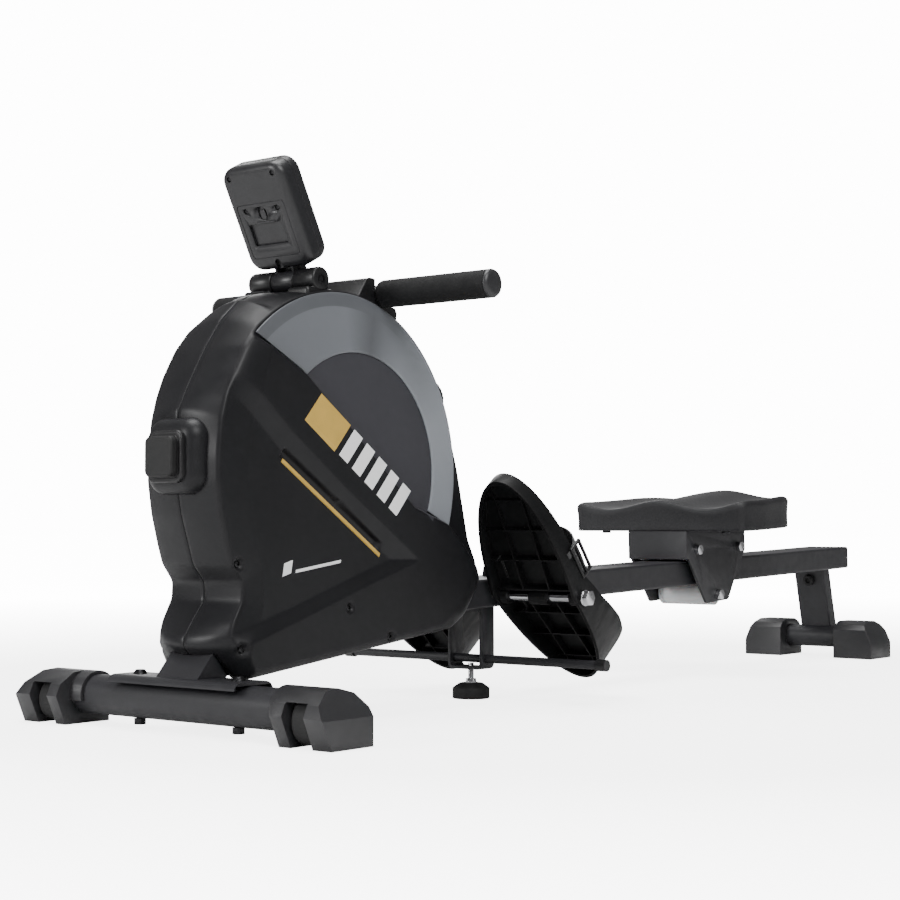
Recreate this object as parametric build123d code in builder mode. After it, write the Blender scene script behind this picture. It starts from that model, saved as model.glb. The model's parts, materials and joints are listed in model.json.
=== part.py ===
"""Magnetic rowing machine: inclined seat rail, cased flywheel, pull handle, pivoting pedals and rolling seat.

The row frame has +X towards the seat end, +Y to the rower's right, +Z up and the floor at z = 0.  Profiles are
drawn in distances behind the axis of the front stabiliser tube, which lies FRONT_X along the row frame.
"""

from build123d import *
import os
from math import asin, cos, degrees, hypot, radians, sin, sqrt, tan

# ---------------------------------------------------------------- driving dimensions (mm)
BUMPER_FACE = -52.0  # foremost face, ahead of the front stabiliser axis
RAIL_END = 1671.0  # rearmost face, behind that axis
FRONT_X = -(BUMPER_FACE + RAIL_END) / 2  # puts the origin under the middle of the machine

FRONT_AXIS_Z, FRONT_TUBE_R, FRONT_HALF = 36.9, 24.5, 259.7
REAR_AXIS_X, REAR_AXIS_Z, REAR_TUBE_R, REAR_HALF = 1623.0, 37.4, 19.9, 129.5
TUBE_WALL = 2.0
WHEEL_X, WHEEL_Y, WHEEL_Z, WHEEL_R, WHEEL_W = -12.0, 215.5, 29.5, 27.5, 25.0

RAIL_W, RAIL_H, RAIL_TILT = 84.0, 40.0, 1.76
RAIL_START, RAIL_TOP_AT_ZERO = 376.0, 153.64

CASE_HALF, CASE_WALL, CHEEK = 60.0, 3.0, 15.0
KNOB_ANGLE, KNOB_R, KNOB_H = 25.0, 32.0, 37.0
WHEEL_CENTRE = (185.0, 300.0)  # flywheel axis
DRUM_CENTRE = (318.0, 372.0)  # strap drum axis
FLYWHEEL_R, PULLEY_R, SMALL_PULLEY_R, DRUM_R = 118.0, 66.0, 20.0, 33.0
AXLE_R = 7.5
RUNNING = 0.06  # radial clearance of a turning fit

PEDAL_AXIS = (552.0, 147.0)
PEDAL_MID_Y, PEDAL_W, PEDAL_L = 122.0, 140.0, 348.0
HANDLE_AXIS = (286.0, 547.0)
BAR_R, GRIP_R, GRIP_END = 12.5, 18.2, 240.0
CONSOLE_HINGE = (170.0, 555.6)
CONSOLE_W, CONSOLE_H, CONSOLE_D, CONSOLE_LEAN = 106.0, 138.0, 38.0, 27.7
SEAT_X = 1155.0  # middle of the carriage
ROLLER_R = 18.5
FOOT_X = 551.0

os.makedirs("parts", exist_ok=True)


# ---------------------------------------------------------------- helpers
def side(y=0.0):
    """Upright plane along the machine at y, drawn in (distance behind the front axis, height)."""
    return Plane(origin=(FRONT_X, y, 0), x_dir=(1, 0, 0), z_dir=(0, -1, 0))


def level(z):
    """Horizontal plane at height z, drawn in (distance behind the front axis, y)."""
    return Plane(origin=(FRONT_X, 0, z))


def rail_plane(x, below=0.0):
    """Plane square to the rail, centred on its top face at distance x, drawn in (y, up the rail's normal)."""
    tilt = radians(RAIL_TILT)
    top = RAIL_TOP_AT_ZERO + tan(tilt) * x
    origin = (FRONT_X + x + below * sin(tilt), 0, top - below * cos(tilt))
    return Plane(origin=origin, x_dir=(0, 1, 0), z_dir=(cos(tilt), 0, sin(tilt)))


def deck_plane(x, rise=0.0):
    """Plane parallel to the rail's top face, rise above it, drawn in (along the rail, y) from distance x."""
    tilt = radians(RAIL_TILT)
    top = RAIL_TOP_AT_ZERO + tan(tilt) * x
    origin = (FRONT_X + x - rise * sin(tilt), 0, top + rise * cos(tilt))
    return Plane(origin=origin, x_dir=(cos(tilt), 0, sin(tilt)), z_dir=(-sin(tilt), 0, cos(tilt)))


def rail_side(y=0.0):
    """Upright plane along the rail at y, drawn in (distance along the rail from SEAT_X, height over its top)."""
    tilt = radians(RAIL_TILT)
    top = RAIL_TOP_AT_ZERO + tan(tilt) * SEAT_X
    return Plane(origin=(FRONT_X + SEAT_X, y, top), x_dir=(cos(tilt), 0, sin(tilt)), z_dir=(0, -1, 0))


def write(piece, name):
    """Labels a finished piece and writes its STEP file."""
    piece.label = name
    export_step(piece, f"parts/{name}.step")


def write_pair(piece, name):
    """Writes the left-hand piece (y < 0) and its mirror image on the right."""
    write(piece, f"{name}_left")
    with BuildPart() as twin:
        mirror(piece, about=Plane.XZ)
    write(twin.part, f"{name}_right")


# ---------------------------------------------------------------- front stabiliser
with BuildPart() as front_tube:
    with BuildSketch(side()):
        with Locations((0, FRONT_AXIS_Z)):
            Circle(FRONT_TUBE_R)
            Circle(FRONT_TUBE_R - TUBE_WALL, mode=Mode.SUBTRACT)
    extrude(amount=196, both=True)
    with BuildSketch(level(0)):
        with Locations((0, -84), (0, 84)):
            Circle(4.3)
    extrude(amount=80, mode=Mode.SUBTRACT)
write(front_tube.part, "front_stabilizer_tube")

with BuildPart() as front_cap:
    with BuildSketch(side(-(181 + FRONT_HALF) / 2)):
        with BuildLine():
            Polyline((0, 66), (-22, 64), (-44, 50), (-50, 36), (-34.5, 0), (35.5, 0), (35.5, 44), (22, 60), (0, 66))
        make_face()
    extrude(amount=(FRONT_HALF - 181) / 2, both=True)
    with BuildSketch(side(-170.5)):
        with Locations((0, FRONT_AXIS_Z)):
            Circle(29.0)
            Circle(FRONT_TUBE_R + 0.2, mode=Mode.SUBTRACT)
        with Locations((0, 0)):
            Rectangle(90, 60, mode=Mode.SUBTRACT)
    extrude(amount=10.5, both=True)
    # the outer end leans in above its crease
    with BuildSketch(Plane(origin=(FRONT_X, 0, 0), x_dir=(0, 1, 0), z_dir=(1, 0, 0))):
        with BuildLine():
            Polyline((-FRONT_HALF - 1, 33.8), (-FRONT_HALF, 33.8), (-238, 67), (-238, 80), (-FRONT_HALF - 1, 80),
                     close=True)
        make_face()
    extrude(amount=60, both=True, mode=Mode.SUBTRACT)
    # seat for the tube
    with BuildSketch(side(-181)):
        with Locations((0, FRONT_AXIS_Z)):
            Circle(FRONT_TUBE_R + 0.2)
    extrude(amount=15.5, mode=Mode.SUBTRACT)
    # housing for the transport wheel, open to the front and below
    with BuildSketch(side(-WHEEL_Y)):
        with Locations((WHEEL_X, WHEEL_Z)):
            Circle(WHEEL_R + 2)
        with BuildLine():
            Polyline((WHEEL_X + 29.5, WHEEL_Z), (WHEEL_X + 29.5, -5), (-60, -5), (-60, WHEEL_Z + 22),
                     (WHEEL_X - 19.6, WHEEL_Z + 22), close=True)
        make_face()
    extrude(amount=16.5, both=True, mode=Mode.SUBTRACT)
    with BuildSketch(side(-WHEEL_Y)):
        with Locations((WHEEL_X, WHEEL_Z)):
            Circle(4.05)
    extrude(amount=32, both=True, mode=Mode.SUBTRACT)
write_pair(front_cap.part, "front_cap")

with BuildPart() as transport_wheel:
    with BuildSketch(side(-WHEEL_Y)):
        with Locations((WHEEL_X, WHEEL_Z)):
            Circle(WHEEL_R)
            Circle(4 + RUNNING, mode=Mode.SUBTRACT)
    extrude(amount=WHEEL_W / 2, both=True)
    fillet(transport_wheel.edges().filter_by(GeomType.CIRCLE).group_by(SortBy.RADIUS)[-1], 3)
    with BuildSketch(side(-WHEEL_Y - WHEEL_W / 2), side(-WHEEL_Y + WHEEL_W / 2 - 4)):
        with Locations((WHEEL_X, WHEEL_Z)):
            Circle(20)
            Circle(9, mode=Mode.SUBTRACT)
    extrude(amount=-4, mode=Mode.SUBTRACT)
write_pair(transport_wheel.part, "transport_wheel")

with BuildPart() as wheel_axles:
    for y in (-WHEEL_Y, WHEEL_Y):
        with BuildSketch(side(y)):
            with Locations((WHEEL_X, WHEEL_Z)):
                Circle(4)
        extrude(amount=29, both=True)
write(wheel_axles.part, "wheel_axles")

with BuildPart() as saddle_bolts:
    for y in (-84, 84):
        with BuildSketch(level(4.5)):
            with Locations((0, y)):
                RegularPolygon(7.5, 6)
        extrude(amount=7.6)
        with BuildSketch(level(10)):
            with Locations((0, y)):
                Circle(4)
        extrude(amount=58)
        with BuildSketch(level(66.1)):
            with Locations((0, y)):
                Circle(9)
        extrude(amount=5, taper=35)
write(saddle_bolts.part, "saddle_bolts")

# ---------------------------------------------------------------- main frame: saddle, leaning post, beam, plates
POST_LEAN = 41.0
BEAM_START, BEAM_END = 66.0, 470.0
MAGNET_PIVOT = (72.0, 365.0)


def frame_plate(y):
    """Upright plate at y that carries the flywheel and drum axles."""
    with BuildPart() as plate:
        with BuildSketch(side(y)):
            with BuildLine():
                Polyline((95, 132), (370, 140), (370, 350), (345, 405), (300, 410), (250, 380), (160, 345), (150, 280),
                         close=True)
            make_face()
            with Locations(WHEEL_CENTRE, DRUM_CENTRE):
                Circle(AXLE_R, mode=Mode.SUBTRACT)
            with Locations((270, 260)):
                Circle(42, mode=Mode.SUBTRACT)
        extrude(amount=2, both=True)
    return plate.part


plates = [frame_plate(y) for y in (-38, 38)]
with BuildPart() as front_post:
    # a rectangular tube that rises rearwards, cut level where it stands on the saddle
    lean = radians(POST_LEAN)
    post_foot = (FRONT_X - 18, 0, 40.0)
    with BuildSketch(Plane(origin=post_foot, x_dir=(0, 1, 0), z_dir=(sin(lean), 0, cos(lean)))):
        Rectangle(70, 36)
        Rectangle(64, 30, mode=Mode.SUBTRACT)
    extrude(amount=148)
    split(bisect_by=Plane.XY.offset(64), keep=Keep.TOP)

with BuildPart() as main_frame:
    add(front_post.part)
    # saddle: a plate with its long edges turned down over the tube
    with BuildSketch(side()):
        with Locations((0, 56)):
            top = Rectangle(66, 20)
        fillet(top.vertices().sort_by(Axis.Y)[-2:], 13)
        with Locations((0, 51.7)):
            Rectangle(58.6, 20.6, mode=Mode.SUBTRACT)
        with Locations((0, 50)):
            Rectangle(70, 14, mode=Mode.SUBTRACT)
    extrude(amount=108, both=True)
    # beam inside the rail
    with BuildSketch(rail_plane(BEAM_START, RAIL_H / 2)):
        Rectangle(79, 35)
        Rectangle(73, 29, mode=Mode.SUBTRACT)
    extrude(amount=BEAM_END - BEAM_START)
    add(plates)
    # holes for the two saddle bolts
    with BuildSketch(level(50)):
        with Locations((0, -84), (0, 84)):
            Circle(4.3)
    extrude(amount=30, mode=Mode.SUBTRACT)
write(main_frame.part, "main_frame")

# ---------------------------------------------------------------- drive inside the casing
with BuildPart() as drive_axles:
    for centre, radius, half in ((WHEEL_CENTRE, AXLE_R - 0.01, 48), (DRUM_CENTRE, AXLE_R - 0.01, 48),
                                 (MAGNET_PIVOT, 4, 56.9)):
        with BuildSketch(side()):
            with Locations(centre):
                Circle(radius)
        extrude(amount=half, both=True)
write(drive_axles.part, "drive_axles")


def disc(centre, radius, half_width, bore, y=0.0):
    """Round blank with a bore, centred at y, as its own part."""
    with BuildPart() as blank:
        with BuildSketch(side(y)):
            with Locations(centre):
                Circle(radius)
                Circle(bore, mode=Mode.SUBTRACT)
        extrude(amount=half_width, both=True)
    return blank.part


BELT_Y = -26.0
with BuildPart() as flywheel:
    add(disc(WHEEL_CENTRE, FLYWHEEL_R, 8, AXLE_R + RUNNING))
    add(disc(WHEEL_CENTRE, SMALL_PULLEY_R, 12, AXLE_R + RUNNING, y=-20))
    with BuildSketch(side(8)):
        with Locations(WHEEL_CENTRE):
            with PolarLocations(68, 6):
                Circle(17)
    extrude(amount=16, mode=Mode.SUBTRACT)
write(flywheel.part, "flywheel")

with BuildPart() as drive_pulley:
    add(disc(DRUM_CENTRE, PULLEY_R, 5, AXLE_R + RUNNING, y=BELT_Y))
    with BuildSketch(side(BELT_Y + 5)):
        with Locations(DRUM_CENTRE):
            with PolarLocations(38, 5):
                Circle(14)
    extrude(amount=10, mode=Mode.SUBTRACT)
write(drive_pulley.part, "drive_pulley")

with BuildPart() as strap_drum:
    add(disc(DRUM_CENTRE, DRUM_R - 4, 15, AXLE_R + RUNNING, y=6))
    add(disc(DRUM_CENTRE, DRUM_R + 14, 1, AXLE_R + RUNNING, y=-10))
    add(disc(DRUM_CENTRE, DRUM_R + 14, 1, AXLE_R + RUNNING, y=22))
write(strap_drum.part, "strap_drum")

# open belt: the outline round both pulleys, less the same outline without the belt's thickness
reach = (DRUM_CENTRE[0] - WHEEL_CENTRE[0], DRUM_CENTRE[1] - WHEEL_CENTRE[1])
span = hypot(*reach)
belt_plane = Plane(origin=(FRONT_X + WHEEL_CENTRE[0], BELT_Y, WHEEL_CENTRE[1]),
                   x_dir=(reach[0], 0, reach[1]), z_dir=(0, -1, 0))
with BuildPart() as drive_belt:
    for thickness, mode in ((2.0, Mode.ADD), (0.0, Mode.SUBTRACT)):
        r_small = SMALL_PULLEY_R + 0.4 + thickness
        r_large = PULLEY_R + 0.4 + thickness
        touch = 90 + degrees(asin((r_large - r_small) / span))
        with BuildSketch(belt_plane):
            with BuildLine():
                small = CenterArc((0, 0), r_small, touch, 360 - 2 * touch)
                large = CenterArc((span, 0), r_large, -touch, 2 * touch)
                Line(small @ 0, large @ 1)
                Line(small @ 1, large @ 0)
            make_face()
        extrude(amount=4, both=True, mode=mode)
write(drive_belt.part, "drive_belt")

# ---------------------------------------------------------------- casing covers
CROWN_X, CROWN_Z, CROWN_R = 205.6, 314.0, 228.5  # circle of the casing's crown
FACE_X, FACE_Z, FACE_R = 234.6, 315.4, 151.2  # circle of the plain disc in its side
NOSE = ((441.7, 321.6), (466, 226), (482, 198), (489, 170.5), (475, 150), (455, 124), (426, 107))
CHIN = ((34, 63), (-4, 103), (-4, 114), (9, 133), (29, 157), (29, 178), (10, 201), (2, 225), (-9, 262), (-14, 290),
        (-14, 378), (-5, 404), (4, 422), (27, 461), (56, 497), (84, 520))


def casing_outline():
    """Side outline of the casing as a face drawn in (distance, height)."""
    with BuildSketch() as sketch:
        with BuildLine():
            crown_start = (CROWN_X - sqrt(CROWN_R**2 - 208.0**2), CROWN_Z + 208.0)
            crown_end = (CROWN_X + 201.0, CROWN_Z + sqrt(CROWN_R**2 - 201.0**2))
            ThreePointArc(crown_start, (CROWN_X, CROWN_Z + CROWN_R), crown_end)
            Polyline(crown_end, *NOSE, *CHIN, crown_start)
        make_face()
    return sketch.face()


def knob_plane(reach):
    """Plane square to the tension knob's axis, reach from the centre of the casing's crown."""
    turn = radians(KNOB_ANGLE)
    origin = (FRONT_X + CROWN_X + reach * cos(turn), 0, CROWN_Z + reach * sin(turn))
    return Plane(origin=origin, x_dir=(0, 1, 0), z_dir=(cos(turn), 0, sin(turn)))


outline = casing_outline()
inner_outline = offset(outline, amount=-CASE_WALL, kind=Kind.INTERSECTION).face()
CHEEK_EDGE = ((38, 480), (131, 434), (223, 364), (339, 272.5), (411, 250), (444, 222))
cheek_points = (*CHEEK_EDGE, (470, 205), (476, 170), (452, 128), (424, 113), (40, 70), (16, 110), (22, 150), (36, 160),
                (36, 180), (18, 203), (4, 262), (4, 372), (14, 420))

SCREWS = ((206, 143), (286, 112), (48, 192), (45, 112))

with BuildPart() as cover:
    with BuildSketch(side()):
        add(outline)
    extrude(amount=CASE_HALF)
    # raised cheek below the diagonal band
    with BuildSketch(side(-CASE_HALF + 0.5)):
        with BuildLine():
            Polyline(*cheek_points, close=True)
        make_face()
    extrude(amount=CHEEK + 0.5, taper=35)
    # hollow, with the cheek hollow behind its own wall
    with BuildSketch(side()):
        add(inner_outline)
    extrude(amount=CASE_HALF - CASE_WALL, mode=Mode.SUBTRACT)
    with BuildSketch(side(-CASE_HALF + CASE_WALL)):
        with BuildLine():
            Polyline(*cheek_points, close=True)
        make_face()
        offset(amount=-12, kind=Kind.INTERSECTION, mode=Mode.REPLACE)
    extrude(amount=CHEEK, mode=Mode.SUBTRACT)
    # opening for the leaning post, for the rail and for the strap
    with BuildSketch(level(40)):
        with Locations((10, 0)):
            Rectangle(82, 76)
    extrude(amount=64, mode=Mode.SUBTRACT)
    with BuildSketch(rail_plane(420, RAIL_H / 2)):
        Rectangle(RAIL_W + 1.5, RAIL_H + 1.5)
    extrude(amount=90, mode=Mode.SUBTRACT)
    with BuildSketch(side()):
        with Locations((296, 518)):
            Rectangle(12, 44)
    extrude(amount=17, both=True, mode=Mode.SUBTRACT)
    # knob spindle hole
    with BuildSketch(knob_plane(CROWN_R)):
        Circle(6.4)
    extrude(amount=12, both=True, mode=Mode.SUBTRACT)
    # screw recesses
    with BuildSketch(side(-CASE_HALF - CHEEK - 1)):
        with Locations(*SCREWS):
            Circle(5.5)
    extrude(amount=-13, mode=Mode.SUBTRACT)
write_pair(cover.part, "cover")

with BuildPart() as cover_screws:
    for way in (-1, 1):
        face = CASE_HALF + CHEEK
        with BuildSketch(side(way * (face - 3))):
            with Locations(*SCREWS):
                Circle(5.3)
        extrude(amount=2, both=True)
        with BuildSketch(side(way * 57)):
            with Locations(*SCREWS):
                Circle(2.2)
        extrude(amount=14.5, both=True)
write(cover_screws.part, "cover_screws")

with BuildPart() as crescent:
    with BuildSketch(side(-CASE_HALF)):
        with Locations((CROWN_X, CROWN_Z)):
            Circle(CROWN_R - 2)
        with Locations((FACE_X, FACE_Z)):
            Circle(FACE_R, mode=Mode.SUBTRACT)
        with BuildLine():
            Polyline(*((x, z + 3) for x, z in CHEEK_EDGE), (600, 150), (600, -50), (-200, -50), (-200, 620), (38, 620),
                     close=True)
        make_face(mode=Mode.SUBTRACT)
    extrude(amount=2.5)
write_pair(crescent.part, "crescent_trim")

STRIP_FROM, STRIP_TO = (84, 327), (266, 209)
with BuildPart() as accent_strips:
    for way in (-1, 1):
        with BuildSketch(side(way * (CASE_HALF + CHEEK + 0.5))):
            with BuildLine():
                Line(STRIP_FROM, STRIP_TO)
            trace(line_width=5)
        extrude(amount=0.5, both=True)
write(accent_strips.part, "accent_strips")

with BuildPart() as storage_bumper:
    # rounded square buffer on a domed boss that follows the casing's front
    with BuildSketch(Plane(origin=(FRONT_X + BUMPER_FACE, 0, 327), x_dir=(0, 1, 0), z_dir=(1, 0, 0))):
        RectangleRounded(47, 48, 9)
    extrude(amount=10)
    with BuildSketch(Plane(origin=(FRONT_X + BUMPER_FACE + 9, 0, 327), x_dir=(0, 1, 0), z_dir=(1, 0, 0))):
        RectangleRounded(58, 61, 12)
    extrude(amount=8)
    with BuildSketch(Plane(origin=(FRONT_X - 14.2, 0, 328), x_dir=(0, 1, 0), z_dir=(-1, 0, 0))):
        RectangleRounded(88, 86, 16)
    extrude(amount=22, taper=28)
write(storage_bumper.part, "storage_bumper")

# ---------------------------------------------------------------- tension knob and magnet bracket
with BuildPart() as tension_knob:
    with BuildSketch(knob_plane(CROWN_R + 6)):
        Circle(KNOB_R)
        with PolarLocations(KNOB_R, 28):
            Circle(1.6, mode=Mode.SUBTRACT)
    extrude(amount=KNOB_H, taper=3)
    with BuildSketch(knob_plane(CROWN_R - 16)):
        Circle(6)
    extrude(amount=24)
write(tension_knob.part, "tension_knob")

with BuildPart() as magnet_bracket:
    with BuildSketch(side()):
        with BuildLine():
            inner = CenterArc(WHEEL_CENTRE, FLYWHEEL_R + 8, 62, 88)
            outer = CenterArc(WHEEL_CENTRE, FLYWHEEL_R + 15, 62, 88)
            Line(inner @ 0, outer @ 0)
            Line(inner @ 1, outer @ 1)
        make_face()
        with Locations(MAGNET_PIVOT):
            Circle(9)
            Circle(4 + RUNNING, mode=Mode.SUBTRACT)
    extrude(amount=12, both=True)
write(magnet_bracket.part, "magnet_bracket")

# ---------------------------------------------------------------- handle, its holder and the strap end
with BuildPart() as handle_holder:
    with BuildSketch(side()):
        with BuildLine():
            Polyline((232, 530), (256, 565), (264, 567), (272.6, 566), (272.6, 547))
            ThreePointArc((272.6, 547), (276.8, 537.3), (286, 533.6))
            Polyline((286, 533.6), (313, 531.5), (317, 525), (314, 505), (240, 505), (232, 530))
        make_face()
        with Locations((CROWN_X, CROWN_Z)):
            Circle(CROWN_R + 0.05, mode=Mode.SUBTRACT)
    extrude(amount=58, both=True)
    with BuildSketch(side()):
        with Locations((305, 530)):
            Rectangle(80, 90)
    extrude(amount=17, both=True, mode=Mode.SUBTRACT)
write(handle_holder.part, "handle_holder")

with BuildPart() as handle_bar:
    with BuildSketch(side()):
        with Locations(HANDLE_AXIS):
            Circle(BAR_R)
            Circle(BAR_R - 2, mode=Mode.SUBTRACT)
    extrude(amount=GRIP_END - 5, both=True)
write(handle_bar.part, "handle_bar")

with BuildPart() as handle_grips:
    for way in (-1, 1):
        with BuildSketch(side(way * (GRIP_END - 5 + 60) / 2)):
            with Locations(HANDLE_AXIS):
                Circle(GRIP_R)
                Circle(BAR_R, mode=Mode.SUBTRACT)
        extrude(amount=(GRIP_END - 5 - 60) / 2, both=True)
write(handle_grips.part, "handle_grips")

with BuildPart() as handle_end_caps:
    for way in (-1, 1):
        with BuildSketch(side(way * (GRIP_END - 5))):
            with Locations(HANDLE_AXIS):
                Circle(GRIP_R)
        extrude(amount=-way * 8)
    rims = handle_end_caps.edges().filter_by(GeomType.CIRCLE).sort_by(Axis.Y)
    fillet([rims[0], rims[-1]], 6)
write(handle_end_caps.part, "handle_end_caps")

STRAP_W = 26.0
with BuildPart() as pull_strap:
    with BuildSketch(side()):
        with Locations(HANDLE_AXIS):
            Circle(BAR_R + 2)
        with Locations((295, 535)):
            Rectangle(2, 14)
        with Locations(HANDLE_AXIS):
            Circle(BAR_R, mode=Mode.SUBTRACT)
    extrude(amount=STRAP_W / 2, both=True)
write(pull_strap.part, "pull_strap")

# ---------------------------------------------------------------- console
CONSOLE_BACK = (125.9, 631.0)  # middle of its rear face


def console_plane(depth):
    """Plane of the console's rear face, moved depth towards the rower, drawn in (y, up the face)."""
    turn = radians(CONSOLE_LEAN)
    origin = (FRONT_X + CONSOLE_BACK[0] + depth * cos(turn), 0, CONSOLE_BACK[1] + depth * sin(turn))
    return Plane(origin=origin, x_dir=(0, 1, 0), z_dir=(cos(turn), 0, sin(turn)))


with BuildPart() as console_bracket:
    with BuildSketch(side()):
        with Locations(CONSOLE_HINGE):
            Circle(15)
        with BuildLine():
            Polyline((155.5, 552), (140, 520), (206, 520), (184.5, 552), close=True)
        make_face()
        with Locations((CROWN_X, CROWN_Z)):
            Circle(CROWN_R + 0.05, mode=Mode.SUBTRACT)
        with Locations(CONSOLE_HINGE):
            Circle(4.0, mode=Mode.SUBTRACT)
    extrude(amount=57, both=True)
    with BuildSketch(side()):
        with Locations(CONSOLE_HINGE):
            Circle(17)
    extrude(amount=19.3, both=True, mode=Mode.SUBTRACT)
write(console_bracket.part, "console_bracket")

with BuildPart() as hinge_pin:
    with BuildSketch(side()):
        with Locations(CONSOLE_HINGE):
            Circle(4.0 - 0.01)
    extrude(amount=55, both=True)
write(hinge_pin.part, "console_hinge_pin")

REAR_DEPTH = 22.0
with BuildPart() as rear_shell:
    with BuildSketch(console_plane(0)):
        RectangleRounded(CONSOLE_W, CONSOLE_H, 16)
    extrude(amount=REAR_DEPTH)
    fillet(rear_shell.faces().sort_by(Axis.X)[0].edges(), 5)
    with BuildSketch(console_plane(2.5)):
        RectangleRounded(CONSOLE_W - 5, CONSOLE_H - 5, 13.5)
    extrude(amount=REAR_DEPTH, mode=Mode.SUBTRACT)
    # knuckle on the hinge pin and its neck
    with BuildSketch(side()):
        with BuildLine():
            Polyline((157, 571), (175, 579.5), (179, 560), (170, 547), (157, 552), close=True)
        make_face()
        with Locations(CONSOLE_HINGE):
            Circle(14)
        with Locations(CONSOLE_HINGE):
            Circle(4.0 + RUNNING, mode=Mode.SUBTRACT)
    extrude(amount=18.8, both=True)
    with BuildSketch(console_plane(2.5)):
        RectangleRounded(CONSOLE_W - 5, CONSOLE_H - 5, 13.5)
    extrude(amount=REAR_DEPTH + 8, mode=Mode.SUBTRACT)
    # recess for the battery cover
    with BuildSketch(console_plane(0)):
        with Locations((0, -2)):
            Rectangle(64, 46)
    extrude(amount=1.6, mode=Mode.SUBTRACT)
write(rear_shell.part, "console_rear_shell")

with BuildPart() as battery_cover:
    with BuildSketch(console_plane(0.1)):
        with Locations((0, -2)):
            Rectangle(63.4, 45.4)
    extrude(amount=1.5)
write(battery_cover.part, "battery_cover")

SCREEN = (0, 14, 70, 52)
BUTTON = (0, -36, 44, 15)
with BuildPart() as front_shell:
    with BuildSketch(console_plane(REAR_DEPTH)):
        RectangleRounded(CONSOLE_W, CONSOLE_H, 16)
    extrude(amount=CONSOLE_D - REAR_DEPTH)
    fillet(front_shell.faces().sort_by(Axis.X)[-1].edges(), 5)
    with BuildSketch(console_plane(REAR_DEPTH)):
        RectangleRounded(CONSOLE_W - 5, CONSOLE_H - 5, 13.5)
    extrude(amount=CONSOLE_D - REAR_DEPTH - 2.5, mode=Mode.SUBTRACT)
    with BuildSketch(console_plane(REAR_DEPTH)):
        with Locations(SCREEN[:2]):
            Rectangle(*SCREEN[2:])
        with Locations(BUTTON[:2]):
            RectangleRounded(*BUTTON[2:], 5)
    extrude(amount=CONSOLE_D, mode=Mode.SUBTRACT)
write(front_shell.part, "console_front_shell")

with BuildPart() as console_screen:
    with BuildSketch(console_plane(CONSOLE_D - 5.5)):
        with Locations(SCREEN[:2]):
            Rectangle(SCREEN[2] + 6, SCREEN[3] + 6)
    extrude(amount=3)
write(console_screen.part, "console_screen")

with BuildPart() as console_button:
    with BuildSketch(console_plane(CONSOLE_D - 6)):
        with Locations(BUTTON[:2]):
            RectangleRounded(BUTTON[2] - 0.8, BUTTON[3] - 0.8, 4.6)
    extrude(amount=8)
write(console_button.part, "console_button")

# ---------------------------------------------------------------- seat rail
with BuildPart() as seat_rail:
    rail_length = (RAIL_END - 4.2 - RAIL_START) / cos(radians(RAIL_TILT))
    with BuildSketch(rail_plane(RAIL_START, RAIL_H / 2)):
        RectangleRounded(RAIL_W, RAIL_H, 4)
        RectangleRounded(RAIL_W - 2 * TUBE_WALL, RAIL_H - 2 * TUBE_WALL, 2, mode=Mode.SUBTRACT)
    extrude(amount=rail_length)
    with BuildSketch(side()):
        with Locations(PEDAL_AXIS):
            Circle(6.02)
    extrude(amount=60, both=True, mode=Mode.SUBTRACT)
write(seat_rail.part, "seat_rail")

with BuildPart() as rail_end_cap:
    tail = Plane(origin=rail_plane(RAIL_START, RAIL_H / 2).offset(rail_length).origin, x_dir=(0, 1, 0),
                 z_dir=rail_plane(RAIL_START).z_dir)
    with BuildSketch(tail):
        RectangleRounded(RAIL_W, RAIL_H, 4)
    extrude(amount=3)
    with BuildSketch(tail):
        RectangleRounded(RAIL_W - 2 * TUBE_WALL - 0.1, RAIL_H - 2 * TUBE_WALL - 0.1, 1.9)
    extrude(amount=-18)
write(rail_end_cap.part, "rail_end_cap")

# ---------------------------------------------------------------- seat carriage and its rollers
UPPER_ROLLERS, LOWER_ROLLER = ((-68, ROLLER_R + 0.4), (68, ROLLER_R + 0.4)), (-2, -RAIL_H - ROLLER_R)
CARRIAGE_HALF, PLATE = 56.0, 4.0
SEAT_BOTTOM = 50.0  # height of the seat pad's underside over the rail
ROLLERS = (*UPPER_ROLLERS, LOWER_ROLLER)

with BuildPart() as seat_carriage:
    with BuildSketch(rail_side()):
        with BuildLine():
            Polyline((-100, SEAT_BOTTOM), (-100, 4), (-94, 4), (-40, -71), (33, -69), (54, -38), (93, 13),
                     (93, SEAT_BOTTOM), close=True)
        make_face()
        fillet(vertices().sort_by(Axis.Y)[:2], 8)
    extrude(amount=CARRIAGE_HALF, both=True)
    with BuildSketch(rail_side()):
        with Locations((-3.5, -25)):
            Rectangle(185, 2 * (SEAT_BOTTOM - PLATE + 25))
    extrude(amount=CARRIAGE_HALF - PLATE, both=True, mode=Mode.SUBTRACT)
    with BuildSketch(rail_side()):
        with Locations((0, -50)):
            Rectangle(300, 2 * 54)
    extrude(amount=CARRIAGE_HALF - PLATE, both=True, mode=Mode.SUBTRACT)
    with BuildSketch(rail_side()):
        with Locations(*ROLLERS):
            Circle(5)
    extrude(amount=80, both=True, mode=Mode.SUBTRACT)
write(seat_carriage.part, "seat_carriage")


def roller(centre, radius):
    """Roller on its bolt, with a shallow groove near each end."""
    with BuildPart() as piece:
        with BuildSketch(rail_side()):
            with Locations(centre):
                Circle(radius)
                Circle(5 + RUNNING, mode=Mode.SUBTRACT)
        extrude(amount=49, both=True)
        with BuildSketch(rail_side(-41), rail_side(41)):
            with Locations(centre):
                Circle(radius + 1)
                Circle(radius - 1.2, mode=Mode.SUBTRACT)
        extrude(amount=1.5, both=True, mode=Mode.SUBTRACT)
    return piece.part


write(roller(UPPER_ROLLERS[0], ROLLER_R), "front_roller")
write(roller(UPPER_ROLLERS[1], ROLLER_R), "rear_roller")
write(roller(LOWER_ROLLER, ROLLER_R - 0.4), "lower_roller")

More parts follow.
